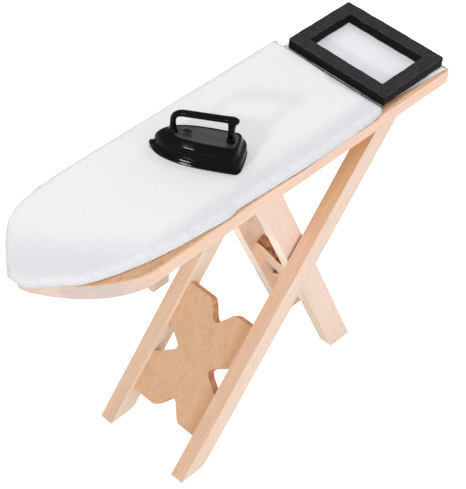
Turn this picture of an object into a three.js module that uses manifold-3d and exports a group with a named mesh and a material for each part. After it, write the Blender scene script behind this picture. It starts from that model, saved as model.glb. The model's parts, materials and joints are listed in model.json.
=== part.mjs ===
import * as THREE from 'three';
import { mergeVertices } from 'three/addons/utils/BufferGeometryUtils.js';
import Module from 'manifold-3d';

const wasm = await Module();
wasm.setup();

// Dollhouse ironing board, one twelfth of full size. Millimetres, Z up, nose of the board towards -X.
// Both leg frames fold up under the board, and the iron lifts off the cover.

// Board
const BOARD = { length: 101.8, width: 30.8, thickness: 3.6, topHeight: 76, edgeRound: 0.35 };
const NOSE = { length: 17.7, shoulderIn: 1.5, shoulderRun: 11, tipReach: 1.2 };
const HEEL_TAB = { farInset: 2.3 };

// Cloth on the board
const COVER = { thickness: 1.1, noseOverhang: 1.4, restGap: 0.25, edgeRound: 0.35, cornerRadius: 1.8 };
const COVER_SIDES = { farInset: 0.25, nearInsetNose: 0.8, nearOverhangHeel: 0.25 };
const COVER_NOSE_FAR = { length: 20.6, shoulderRun: 13.9, tipReach: 1.6 };
const COVER_NOSE_NEAR = { length: 33.6, shoulderIn: 0.7, shoulderRun: 29.3, tipReach: 1.6 };
const PAD = { thickness: 0.7, coverGap: 0.5, heelInset: 1.3, farInset: 0.4 };
const PAD_NEAR = { heelInset: 0.3, frontInset: 2.1 };

// Iron rest, a flat black frame lying on the pad
const REST = { length: 18.7, thickness: 2.5, border: 3.05, edgeRound: 0.2 };
const REST_PLACE = { heelInset: 1.75, nearInset: 1.05, farInset: 4.05 };

// Crosswise strips under the board
const CLEAT = { length: 4, height: 1.8, noseInset: 17.7 };
const BATTEN = { length: 5.6, height: 5.8, legGap: 0.25 };

// Leg frames. Slopes are degrees from the floor, the outer frame rises to the heel, the inner to the nose.
const OUTER = { slope: 52.3, depth: 5.3, thickness: 3.3, edgeInset: 2.55 };
const OUTER_FOOT = { cutBack: 1.2, cutUp: 0.8 };
const INNER = { slope: 65.6, depth: 5.7, thickness: 3.3, sideGap: 0.5, topGap: 0.7 };
const CROSSING = { height: 42.8, heelInset: 36.3 };
const HINGE = { drop: 3.2, rodDiameter: 1.2, rodInset: 0.3 };
const PIN = { diameter: 0.9, inset: 0.25, grip: 2.4 };
const CLEARANCE = { running: 0.08, press: 0.02 };

// Crossed panels between the legs, heights measured along the leg from the foot
const PANEL = { thickness: 2.5, notchDepth: 4, notchFlat: 0.5, round: 0.7 };
const OUTER_PANEL = { start: 7.5, height: 27.8, sideHalfHeight: 3.9 };
const INNER_PANEL = { start: 10.7, height: 25, sideHalfHeight: 3.4 };
const OUTER_PANEL_SHIFT = { notchNear: 0.5, heel: 0 };
const INNER_PANEL_SHIFT = { notchNear: 0, heel: 0.5 };

// Shares of a panel's half width: half the mouth of its upper and lower notches, and its side notches' depth
const OUTER_PANEL_SHARES = { mouth: 0.366, side: 0.492 };
const INNER_PANEL_SHARES = { mouth: 0.61, side: 0.505 };

// Toy iron, measured along its own length from the tip
const IRON = { length: 18.4, width: 8.2, turn: 121.3, tipFromHeel: 62.4, tipAcross: 8.7 };
const SOLE = { height: 1.3, round: 0.25 };
const SHELL = { inset: 0.5, height: 3.7, round: 0.7, bowRake: 2.6, flare: 0.5, heelRake: 0.3 };
const GRIP = { diameter: 1.5, front: 4.7, bendStart: 3.1, bend: 2.4, rear: 17 };
const GRIP_HEIGHT = { front: 5, rear: 5.5 };
const GRIP_END = { diameter: 1.9, length: 0.9 };
const POST = { diameter: 1.25, rear: 15.9, collarDiameter: 2, collarHeight: 0.45 };
const DIAL = { diameter: 1.5, height: 1, position: 7.6 };

// Shares of an iron's length and half width that shape its plan, tip first
const IRON_PLAN_SHARES = {
  bow: [0.1, 0.95],
  waist: [0.6, 1],
  quarter: [0.82, 1],
  heel: [0.955, 0.9],
  corner: [1, 0.86],
  stern: [1, 0.55],
};

// Shares of the shell's rakes and flare reached half way up and at the brow
const SHELL_SHARES = { middleRake: 1 / 3, browRake: 2 / 3, middleHeelRake: 1 / 2, middleFlare: 1 / 2 };

// Share of the dial's radius left between its ribs
const RIB_SHARE = 0.82;

const FACETS = { round: 24, small: 16, curve: 12, tube: 6, bevel: 2, dialRibs: 9 };

const UP = new THREE.Vector3(0, 0, 1);
const ACROSS = new THREE.Vector3(0, 1, 0);

// Places and angles worked out from the sizes above
const HEEL_X = (BOARD.length + COVER.noseOverhang) / 2;
const NOSE_X = HEEL_X - BOARD.length;
const REST_HEEL = HEEL_X - REST_PLACE.heelInset;
const REST_FRONT = REST_HEEL - REST.length;
const COVER_HEEL = REST_FRONT - COVER.restGap;
const PAD_FRONT = COVER_HEEL + PAD.coverGap;
const UNDERSIDE = BOARD.topHeight - BOARD.thickness;
const CROSSING_X = HEEL_X - CROSSING.heelInset;
const OUTER_ANGLE = THREE.MathUtils.degToRad(OUTER.slope);
const INNER_ANGLE = THREE.MathUtils.degToRad(INNER.slope);
const HINGE_HEIGHT = UNDERSIDE - HINGE.drop;
const HINGE_X = CROSSING_X + (HINGE_HEIGHT - CROSSING.height) / Math.tan(OUTER_ANGLE);
const OUTER_OUTSIDE = BOARD.width / 2 - OUTER.edgeInset;
const OUTER_INSIDE = OUTER_OUTSIDE - OUTER.thickness;
const INNER_OUTSIDE = OUTER_INSIDE - INNER.sideGap;
const INNER_INSIDE = INNER_OUTSIDE - INNER.thickness;
const INNER_TOP = UNDERSIDE - INNER.topGap - INNER.depth / 2;
const OUTER_FOOT_X = CROSSING_X - CROSSING.height / Math.tan(OUTER_ANGLE);
const INNER_FOOT_X = CROSSING_X + CROSSING.height / Math.tan(INNER_ANGLE);
const INNER_TOP_X = CROSSING_X - (INNER_TOP - CROSSING.height) / Math.tan(INNER_ANGLE);

// Materials, one function each
function bareWood() {
  return new THREE.MeshStandardMaterial({ color: 0xe6c3a4, roughness: 0.62, metalness: 0 });
}

function panelWood() {
  return new THREE.MeshStandardMaterial({ color: 0xd6a67e, roughness: 0.7, metalness: 0 });
}

function whiteCloth() {
  return new THREE.MeshStandardMaterial({ color: 0xeeeef0, roughness: 0.92, metalness: 0 });
}

function blackPaint() {
  return new THREE.MeshStandardMaterial({ color: 0x2a2a2d, roughness: 0.85, metalness: 0 });
}

function pinSteel() {
  return new THREE.MeshStandardMaterial({ color: 0x9a9488, roughness: 0.4, metalness: 1 });
}

function blackEnamel() {
  return new THREE.MeshStandardMaterial({ color: 0x0d0d0f, roughness: 0.18, metalness: 0 });
}

// Geometry helpers
function named(name, geometry, material) {
  const mesh = new THREE.Mesh(geometry, material);
  mesh.name = name;
  return mesh;
}

function rounding(size) {
  return {
    bevelEnabled: true,
    bevelThickness: size,
    bevelSize: size,
    bevelOffset: -size,
    bevelSegments: FACETS.bevel,
    curveSegments: FACETS.curve,
  };
}

function plate(shape, thickness, bottom, edge) {
  const options = { depth: thickness - 2 * edge, ...rounding(edge) };
  const geometry = new THREE.ExtrudeGeometry(shape, options);
  geometry.translate(0, 0, bottom + edge);
  return geometry;
}

function sharpPlate(shape, thickness, bottom) {
  const options = { depth: thickness, bevelEnabled: false, curveSegments: FACETS.curve };
  const geometry = new THREE.ExtrudeGeometry(shape, options);
  geometry.translate(0, 0, bottom);
  return geometry;
}

// A profile drawn in X and Z, given a width across the board from one Y to a larger one
function sideways(profile, fromY, toY) {
  const options = { depth: toY - fromY, bevelEnabled: false, curveSegments: FACETS.round };
  const geometry = new THREE.ExtrudeGeometry(profile, options);
  geometry.rotateX(Math.PI / 2);
  geometry.translate(0, toY, 0);
  return geometry;
}

function crosswiseRod(diameter, facets, x, z, fromY, toY) {
  const geometry = new THREE.CylinderGeometry(diameter / 2, diameter / 2, toY - fromY, facets);
  geometry.translate(x, (fromY + toY) / 2, z);
  return geometry;
}

function roundHole(x, z, diameter, facets) {
  const hole = new THREE.Path();
  for (let i = 0; i <= facets; i += 1) {
    const angle = (-2 * Math.PI * i) / facets;
    const px = x + (diameter / 2) * Math.sin(angle);
    const pz = z + (diameter / 2) * Math.cos(angle);
    if (i === 0) hole.moveTo(px, pz);
    else hole.lineTo(px, pz);
  }
  return hole;
}

function rectangle(minX, minY, maxX, maxY) {
  const shape = new THREE.Shape();
  shape.moveTo(minX, minY);
  shape.lineTo(maxX, minY);
  shape.lineTo(maxX, maxY);
  shape.lineTo(minX, maxY);
  shape.closePath();
  return shape;
}

function solid(geometry) {
  geometry.deleteAttribute('normal');
  geometry.deleteAttribute('uv');
  const welded = mergeVertices(geometry);
  const vertProperties = new Float32Array(welded.attributes.position.array);
  const triVerts = new Uint32Array(welded.index.array);
  return new wasm.Manifold(new wasm.Mesh({ numProp: 3, vertProperties, triVerts }));
}

function joined(geometries) {
  const body = geometries.map(solid).reduce((sum, next) => sum.add(next));
  const mesh = body.getMesh();
  const geometry = new THREE.BufferGeometry();
  geometry.setAttribute('position', new THREE.BufferAttribute(new Float32Array(mesh.vertProperties), 3));
  geometry.setIndex(new THREE.BufferAttribute(new Uint32Array(mesh.triVerts), 1));
  geometry.computeVertexNormals();
  return geometry;
}

// Board and cloth
function boardOutline() {
  const half = BOARD.width / 2;
  const shoulder = NOSE_X + NOSE.length;
  const bend = half - NOSE.shoulderIn;
  const run = shoulder - NOSE.shoulderRun;
  const shape = new THREE.Shape();
  shape.moveTo(HEEL_X, -half);
  shape.lineTo(HEEL_X, half - HEEL_TAB.farInset);
  shape.lineTo(PAD_FRONT, half - HEEL_TAB.farInset);
  shape.lineTo(PAD_FRONT, half);
  shape.lineTo(shoulder, half);
  shape.bezierCurveTo(run, bend, NOSE_X, NOSE.tipReach, NOSE_X, 0);
  shape.bezierCurveTo(NOSE_X, -NOSE.tipReach, run, -bend, shoulder, -half);
  shape.closePath();
  return shape;
}

function board() {
  const geometry = plate(boardOutline(), BOARD.thickness, UNDERSIDE, BOARD.edgeRound);
  return named('board_top', geometry, bareWood());
}

function coverOutline() {
  const half = BOARD.width / 2;
  const far = half - COVER_SIDES.farInset;
  const nearHeel = -half - COVER_SIDES.nearOverhangHeel;
  const nearNose = -half + COVER_SIDES.nearInsetNose;
  const tip = NOSE_X - COVER.noseOverhang;
  const heel = COVER_HEEL;
  const farShoulder = tip + COVER_NOSE_FAR.length;
  const farRun = farShoulder - COVER_NOSE_FAR.shoulderRun;
  const nearShoulder = tip + COVER_NOSE_NEAR.length;
  const nearRun = nearShoulder - COVER_NOSE_NEAR.shoulderRun;
  const nearBend = nearNose + COVER_NOSE_NEAR.shoulderIn;
  const corner = COVER.cornerRadius;
  const shape = new THREE.Shape();
  shape.moveTo(heel - corner, nearHeel);
  shape.quadraticCurveTo(heel, nearHeel, heel, nearHeel + corner);
  shape.lineTo(heel, far - corner);
  shape.quadraticCurveTo(heel, far, heel - corner, far);
  shape.lineTo(farShoulder, far);
  shape.bezierCurveTo(farRun, far, tip, COVER_NOSE_FAR.tipReach, tip, 0);
  shape.bezierCurveTo(tip, -COVER_NOSE_NEAR.tipReach, nearRun, nearBend, nearShoulder, nearNose);
  shape.closePath();
  return shape;
}

function cover() {
  const geometry = plate(coverOutline(), COVER.thickness, BOARD.topHeight, COVER.edgeRound);
  return named('cloth_cover', geometry, whiteCloth());
}

function restPad() {
  const half = BOARD.width / 2;
  const far = half - HEEL_TAB.farInset - PAD.farInset;
  const heel = HEEL_X - PAD.heelInset;
  const shape = new THREE.Shape();
  shape.moveTo(PAD_FRONT, -half + PAD_NEAR.frontInset);
  shape.lineTo(heel, -half + PAD_NEAR.heelInset);
  shape.lineTo(heel, far);
  shape.lineTo(PAD_FRONT, far);
  shape.closePath();
  return named('rest_pad', sharpPlate(shape, PAD.thickness, BOARD.topHeight), whiteCloth());
}

function restFrame() {
  const near = -BOARD.width / 2 + REST_PLACE.nearInset;
  const far = BOARD.width / 2 - REST_PLACE.farInset;
  const edge = REST.border;
  const shape = rectangle(REST_FRONT, near, REST_HEEL, far);
  const hole = new THREE.Path();
  hole.moveTo(REST_FRONT + edge, near + edge);
  hole.lineTo(REST_FRONT + edge, far - edge);
  hole.lineTo(REST_HEEL - edge, far - edge);
  hole.lineTo(REST_HEEL - edge, near + edge);
  hole.closePath();
  shape.holes.push(hole);
  const geometry = plate(shape, REST.thickness, BOARD.topHeight + PAD.thickness, REST.edgeRound);
  return named('iron_rest_frame', geometry, blackPaint());
}

// Strips under the board
function noseCleat() {
  const half = BOARD.width / 2;
  const start = NOSE_X + CLEAT.noseInset;
  const profile = rectangle(start, UNDERSIDE - CLEAT.height, start + CLEAT.length, UNDERSIDE);
  return named('nose_cleat', sideways(profile, -half, half), bareWood());
}

function hingeBatten() {
  const half = OUTER_INSIDE - BATTEN.legGap;
  const start = HINGE_X - BATTEN.length / 2;
  const profile = rectangle(start, UNDERSIDE - BATTEN.height, start + BATTEN.length, UNDERSIDE);
  bore(profile, HINGE_X, HINGE_HEIGHT, HINGE.rodDiameter + 2 * CLEARANCE.press);
  return named('hinge_batten', sideways(profile, -half, half), bareWood());
}

function hingeRod() {
  const half = OUTER_OUTSIDE - HINGE.rodInset;
  const rod = crosswiseRod(HINGE.rodDiameter, FACETS.small, HINGE_X, HINGE_HEIGHT, -half, half);
  return named('hinge_rod', rod, pinSteel());
}

// Leg profile: a strip about its own centre line, flat on the floor and rounded at the top.
// Where a corner is given, it is sawn off the heel side of the foot.
function legProfile(depth, footX, topX, topZ, corner) {
  const half = depth / 2;
  const along = new THREE.Vector2(topX - footX, topZ).normalize();
  const noseSide = footX - half / along.y;
  const heelSide = footX + half / along.y;
  const start = Math.atan2(-along.x, along.y);
  const profile = new THREE.Shape();
  profile.moveTo(noseSide, 0);
  if (corner) {
    profile.lineTo(heelSide - corner.cutBack, 0);
    profile.lineTo(heelSide + (corner.cutUp * along.x) / along.y, corner.cutUp);
  } else {
    profile.lineTo(heelSide, 0);
  }
  profile.absarc(topX, topZ, half, start, start + Math.PI, false);
  profile.closePath();
  return profile;
}

function bore(profile, x, z, diameter) {
  profile.holes.push(roundHole(x, z, diameter, FACETS.small));
}

// A profile as a solid between its outside and its inside face, on the far side (1) or the near side (-1)
function onSide(profile, side, outside, inside) {
  return side > 0 ? sideways(profile, inside, outside) : sideways(profile, -outside, -inside);
}

function outerLeg(name, side) {
  const profile = legProfile(OUTER.depth, OUTER_FOOT_X, HINGE_X, HINGE_HEIGHT, OUTER_FOOT);
  bore(profile, CROSSING_X, CROSSING.height, PIN.diameter + 2 * CLEARANCE.running);
  bore(profile, HINGE_X, HINGE_HEIGHT, HINGE.rodDiameter + 2 * CLEARANCE.running);
  return named(name, onSide(profile, side, OUTER_OUTSIDE, OUTER_INSIDE), bareWood());
}

function innerLeg(name, side) {
  const profile = legProfile(INNER.depth, INNER_FOOT_X, INNER_TOP_X, INNER_TOP);
  bore(profile, CROSSING_X, CROSSING.height, PIN.diameter + 2 * CLEARANCE.press);
  return named(name, onSide(profile, side, INNER_OUTSIDE, INNER_INSIDE), bareWood());
}

function pivotPin(name, side) {
  const outside = side * (OUTER_OUTSIDE - PIN.inset);
  const inside = side * (INNER_OUTSIDE - PIN.grip);
  const fromY = Math.min(outside, inside);
  const toY = Math.max(outside, inside);
  const pin = crosswiseRod(PIN.diameter, FACETS.small, CROSSING_X, CROSSING.height, fromY, toY);
  return named(name, pin, pinSteel());
}

// Crossed panel: a plate notched on all four edges, drawn with X across the frame and Y up the leg
function panelShape(sizes, shares, notchNear, halfWidth) {
  const low = sizes.start;
  const high = low + sizes.height;
  const middle = (low + high) / 2;
  const notch = -notchNear;
  const mouth = halfWidth * shares.mouth;
  const flat = PANEL.notchFlat;
  const waist = halfWidth * (1 - shares.side);
  const corners = [
    [halfWidth, low],
    [halfWidth, middle - sizes.sideHalfHeight],
    [waist, middle - flat],
    [waist, middle + flat],
    [halfWidth, middle + sizes.sideHalfHeight],
    [halfWidth, high],
    [notch + mouth, high],
    [notch + flat, high - PANEL.notchDepth],
    [notch - flat, high - PANEL.notchDepth],
    [notch - mouth, high],
    [-halfWidth, high],
    [-halfWidth, middle + sizes.sideHalfHeight],
    [-waist, middle + flat],
    [-waist, middle - flat],
    [-halfWidth, middle - sizes.sideHalfHeight],
    [-halfWidth, low],
    [notch - mouth, low],
    [notch - flat, low + PANEL.notchDepth],
    [notch + flat, low + PANEL.notchDepth],
    [notch + mouth, low],
  ];
  const shape = new THREE.Shape();
  corners.forEach(([x, y], i) => {
    const before = corners[(i + corners.length - 1) % corners.length];
    const after = corners[(i + 1) % corners.length];
    const meetsLeg = Math.abs(x) === halfWidth;
    const radius = meetsLeg ? 0 : PANEL.round;
    const entry = towards([x, y], before, radius);
    const exit = towards([x, y], after, radius);
    if (i === 0) shape.moveTo(...entry);
    else shape.lineTo(...entry);
    if (radius > 0) shape.quadraticCurveTo(x, y, ...exit);
  });
  shape.closePath();
  return shape;
}

// The point a short way from one corner towards the next, never past the middle between them
function towards(from, to, distance) {
  const run = Math.hypot(to[0] - from[0], to[1] - from[1]);
  const share = Math.min(distance / run, 1 / 2);
  return [from[0] + (to[0] - from[0]) * share, from[1] + (to[1] - from[1]) * share];
}

function legPanel(name, shape, heelShift, footX, lean) {
  const options = { depth: PANEL.thickness, bevelEnabled: false, curveSegments: FACETS.bevel };
  const geometry = new THREE.ExtrudeGeometry(shape, options);
  geometry.translate(0, 0, heelShift - PANEL.thickness / 2);
  const up = new THREE.Vector3(Math.cos(lean), 0, Math.sin(lean));
  const out = new THREE.Vector3().crossVectors(ACROSS, up);
  geometry.applyMatrix4(new THREE.Matrix4().makeBasis(ACROSS, up, out));
  geometry.translate(footX, 0, 0);
  return named(name, geometry, panelWood());
}

function outerPanel() {
  const { notchNear, heel } = OUTER_PANEL_SHIFT;
  const shape = panelShape(OUTER_PANEL, OUTER_PANEL_SHARES, notchNear, OUTER_INSIDE);
  return legPanel('outer_x_panel', shape, heel, OUTER_FOOT_X, OUTER_ANGLE);
}

function innerPanel() {
  const { notchNear, heel } = INNER_PANEL_SHIFT;
  const shape = panelShape(INNER_PANEL, INNER_PANEL_SHARES, notchNear, INNER_INSIDE);
  return legPanel('inner_x_panel', shape, heel, INNER_FOOT_X, Math.PI - INNER_ANGLE);
}

// Toy iron, drawn with its tip at the origin and its heel along +X, then turned and set on the cover
function ironPlan() {
  const half = IRON.width / 2;
  const at = ([alongShare, acrossShare], side) => [IRON.length * alongShare, side * half * acrossShare];
  const plan = IRON_PLAN_SHARES;
  const shape = new THREE.Shape();
  shape.moveTo(0, 0);
  shape.quadraticCurveTo(...at(plan.bow, -1), ...at(plan.waist, -1));
  shape.quadraticCurveTo(...at(plan.quarter, -1), ...at(plan.heel, -1));
  shape.quadraticCurveTo(...at(plan.corner, -1), ...at(plan.stern, -1));
  shape.lineTo(...at(plan.stern, 1));
  shape.quadraticCurveTo(...at(plan.corner, 1), ...at(plan.heel, 1));
  shape.quadraticCurveTo(...at(plan.quarter, 1), ...at(plan.waist, 1));
  shape.quadraticCurveTo(...at(plan.bow, 1), 0, 0);
  const points = shape.getPoints(FACETS.curve);
  points.pop();
  return points;
}

// A closed skin through rings of the plan, each ring pulled in at the sides, the bow and the heel
function rings(levels) {
  const plan = ironPlan();
  const count = plan.length;
  const half = IRON.width / 2;
  const position = [];
  for (const { side, bow, heel, z } of levels) {
    const lengthShare = (IRON.length - bow - heel) / IRON.length;
    const widthShare = (half - side) / half;
    for (const point of plan) {
      position.push(bow + point.x * lengthShare, point.y * widthShare, z);
    }
  }
  const index = [];
  for (let ring = 0; ring + 1 < levels.length; ring += 1) {
    for (let i = 0; i < count; i += 1) {
      const a = ring * count + i;
      const b = ring * count + ((i + 1) % count);
      index.push(a, b, b + count, a, b + count, a + count);
    }
  }
  const top = (levels.length - 1) * count;
  for (const [a, b, c] of THREE.ShapeUtils.triangulateShape(plan, [])) {
    index.push(c, b, a);
    index.push(top + a, top + b, top + c);
  }
  const geometry = new THREE.BufferGeometry();
  geometry.setAttribute('position', new THREE.Float32BufferAttribute(position, 3));
  geometry.setIndex(index);
  geometry.computeVertexNormals();
  return geometry;
}

function level(inset, z, bowRake = 0, heelRake = 0) {
  return { side: inset, bow: inset + bowRake, heel: inset + heelRake, z };
}

function ironSole() {
  const geometry = rings([
    level(SOLE.round, 0),
    level(0, SOLE.round),
    level(0, SOLE.height - SOLE.round),
    level(SOLE.round, SOLE.height),
  ]);
  return named('iron_sole', geometry, blackEnamel());
}

function ironShell() {
  const top = SOLE.height + SHELL.height;
  const brow = top - SHELL.round;
  const middle = (SOLE.height + brow) / 2;
  const { bowRake, heelRake, flare, inset } = SHELL;
  const { middleFlare, middleRake, middleHeelRake, browRake } = SHELL_SHARES;
  const geometry = rings([
    level(inset, SOLE.height),
    level(inset + flare * middleFlare, middle, bowRake * middleRake, heelRake * middleHeelRake),
    level(inset + flare, brow, bowRake * browRake, heelRake),
    level(inset + flare + SHELL.round, top, bowRake, heelRake),
  ]);
  return named('iron_shell', geometry, blackEnamel());
}

function upright(diameter, height, x, bottom, facets) {
  const geometry = new THREE.CylinderGeometry(diameter / 2, diameter / 2, height, facets);
  geometry.rotateX(Math.PI / 2);
  geometry.translate(x, 0, bottom + height / 2);
  return geometry;
}

// The bent grip: up at the front, round the bend and back to the heel
function gripTube(deck) {
  const top = deck + GRIP_HEIGHT.front;
  const foot = new THREE.Vector3(GRIP.front, 0, deck);
  const bendStart = new THREE.Vector3(GRIP.front, 0, deck + GRIP.bendStart);
  const bendCorner = new THREE.Vector3(GRIP.front, 0, top);
  const bendEnd = new THREE.Vector3(GRIP.front + GRIP.bend, 0, top);
  const rear = new THREE.Vector3(GRIP.rear, 0, deck + GRIP_HEIGHT.rear);
  const path = new THREE.CurvePath();
  path.add(new THREE.LineCurve3(foot, bendStart));
  path.add(new THREE.QuadraticBezierCurve3(bendStart, bendCorner, bendEnd));
  path.add(new THREE.LineCurve3(bendEnd, rear));
  const section = new THREE.Shape();
  section.absarc(0, 0, GRIP.diameter / 2, 0, 2 * Math.PI, false);
  return new THREE.ExtrudeGeometry(section, {
    steps: FACETS.round,
    extrudePath: path,
    bevelEnabled: false,
    curveSegments: FACETS.tube,
  });
}

function gripEnd(deck) {
  const radius = GRIP_END.diameter / 2;
  const end = new THREE.CylinderGeometry(radius, radius, GRIP_END.length, FACETS.small);
  end.rotateZ(Math.PI / 2);
  end.translate(GRIP.rear, 0, deck + GRIP_HEIGHT.rear);
  return end;
}

function ironHandle() {
  const deck = SOLE.height + SHELL.height;
  const geometry = joined([
    gripTube(deck),
    gripEnd(deck),
    upright(POST.diameter, GRIP_HEIGHT.rear, POST.rear, deck, FACETS.small),
    upright(POST.collarDiameter, POST.collarHeight, GRIP.front, deck, FACETS.small),
    upright(POST.collarDiameter, POST.collarHeight, POST.rear, deck, FACETS.small),
  ]);
  return named('iron_handle', geometry, blackEnamel());
}

function ironDial() {
  const deck = SOLE.height + SHELL.height;
  const shape = new THREE.Shape();
  const corners = FACETS.dialRibs * 2;
  for (let i = 0; i < corners; i += 1) {
    const radius = (DIAL.diameter / 2) * (i % 2 ? RIB_SHARE : 1);
    const angle = (2 * Math.PI * i) / corners;
    const point = [DIAL.position + radius * Math.cos(angle), radius * Math.sin(angle)];
    if (i === 0) shape.moveTo(...point);
    else shape.lineTo(...point);
  }
  shape.closePath();
  return named('iron_dial', sharpPlate(shape, DIAL.height, deck), blackEnamel());
}

function placeIron(mesh) {
  const turn = THREE.MathUtils.degToRad(IRON.turn + 180);
  mesh.geometry.applyMatrix4(new THREE.Matrix4().makeRotationAxis(UP, turn));
  mesh.geometry.translate(HEEL_X - IRON.tipFromHeel, IRON.tipAcross, BOARD.topHeight + COVER.thickness);
  return mesh;
}

function build() {
  const group = new THREE.Group();
  group.name = 'dollhouse_ironing_board';
  group.add(board(), cover(), restPad(), restFrame(), noseCleat(), hingeBatten(), hingeRod());
  for (const [label, side] of [['near', -1], ['far', 1]]) {
    group.add(outerLeg(`outer_leg_${label}`, side));
    group.add(innerLeg(`inner_leg_${label}`, side));
    group.add(pivotPin(`pivot_pin_${label}`, side));
  }
  group.add(outerPanel(), innerPanel());
  group.add(...[ironSole(), ironShell(), ironHandle(), ironDial()].map(placeIron));
  return group;
}

export default build();
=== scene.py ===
"""Looks of a dollhouse ironing board with its toy iron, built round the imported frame.

Metres, Z up, the nose of the board towards -X. The near side of the board is -Y.
"""
import json
import logging
import math
from dataclasses import dataclass
from enum import Enum
from typing import Sequence

import bmesh
import bpy
import numpy as np
from mathutils import Matrix, Vector, noise

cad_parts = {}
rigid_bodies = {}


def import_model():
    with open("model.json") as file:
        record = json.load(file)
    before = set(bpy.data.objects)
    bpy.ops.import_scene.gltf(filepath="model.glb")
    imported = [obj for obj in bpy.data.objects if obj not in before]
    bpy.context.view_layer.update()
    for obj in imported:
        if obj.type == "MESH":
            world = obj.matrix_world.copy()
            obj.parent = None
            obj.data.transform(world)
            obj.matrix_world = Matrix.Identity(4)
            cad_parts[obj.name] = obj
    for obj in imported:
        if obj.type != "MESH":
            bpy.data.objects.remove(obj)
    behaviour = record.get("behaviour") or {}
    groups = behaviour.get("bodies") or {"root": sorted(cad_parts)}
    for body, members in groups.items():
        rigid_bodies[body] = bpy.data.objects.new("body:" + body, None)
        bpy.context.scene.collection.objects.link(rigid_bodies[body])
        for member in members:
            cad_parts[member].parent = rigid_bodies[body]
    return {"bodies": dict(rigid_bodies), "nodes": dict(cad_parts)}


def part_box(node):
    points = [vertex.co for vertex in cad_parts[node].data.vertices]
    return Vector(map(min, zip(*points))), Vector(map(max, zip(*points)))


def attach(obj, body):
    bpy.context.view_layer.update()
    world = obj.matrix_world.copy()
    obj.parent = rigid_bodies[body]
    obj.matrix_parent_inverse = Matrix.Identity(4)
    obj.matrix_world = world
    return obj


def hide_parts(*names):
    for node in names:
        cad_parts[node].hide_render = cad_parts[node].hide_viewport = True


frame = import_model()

LOG = logging.getLogger("ironing_board")
MM = 0.001
TINY = 1e-18
SAME_PLACE = 0.0005 * MM
IMAGE_SIZE = (466, 489)
BOARD_BODY = "board"
IRON_BODY = "iron"

Colour = tuple[float, float, float, float]
Point = tuple[float, float, float]
Spot = tuple[float, float]
Span = tuple[float, float]
ColourSpan = tuple[Colour, float, float]
Edges = tuple[np.ndarray, np.ndarray]
Skin = tuple[np.ndarray, list[list[int]]]
Source = bpy.types.NodeSocket | float | tuple

ALONG: Point = (1.0, 0.0, 0.0)
ACROSS: Point = (0.0, 1.0, 0.0)
UP: Point = (0.0, 0.0, 1.0)
WHITE: Colour = (1.0, 1.0, 1.0, 1.0)


class Side(Enum):
    """The side of the board that a piece stands on, with its sign along Y."""

    NEAR = -1
    FAR = 1

    @property
    def word(self) -> str:
        """The side's word in the names of nodes and pieces."""
        return self.name.lower()


class Slot(Enum):
    """The record's material slots, one named for each kind of new piece."""

    WOOD = "bare_wood"
    COVER = "cover_cloth"
    PAD = "pad_cloth"
    PAINT = "black_paint"
    STEEL = "pin_steel"
    ENAMEL = "iron_enamel"


def tint(red: int, green: int, blue: int) -> Colour:
    """A colour given as it shows on a screen, 0 to 255, turned into the linear values of a shader.

    Args:
        red: Red level.
        green: Green level.
        blue: Blue level.

    Returns:
        The linear colour with full opacity.
    """
    linear = [((level / 255 + 0.055) / 1.055) ** 2.4 for level in (red, green, blue)]
    return (linear[0], linear[1], linear[2], 1.0)


def shaded(colour: Colour, share: float) -> Colour:
    """The colour with its light multiplied by a share."""
    return (colour[0] * share, colour[1] * share, colour[2] * share, 1.0)


def browned(colour: Colour, share: float) -> Colour:
    """The colour darkened as wood darkens, with more of its blue than of its red taken away."""
    return (colour[0] * share**0.7, colour[1] * share, colour[2] * share**1.25, 1.0)


def metres(*millimetres: float) -> tuple[float, ...]:
    """Measures in millimetres turned into metres."""
    return tuple(value * MM for value in millimetres)


# Nodes


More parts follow.
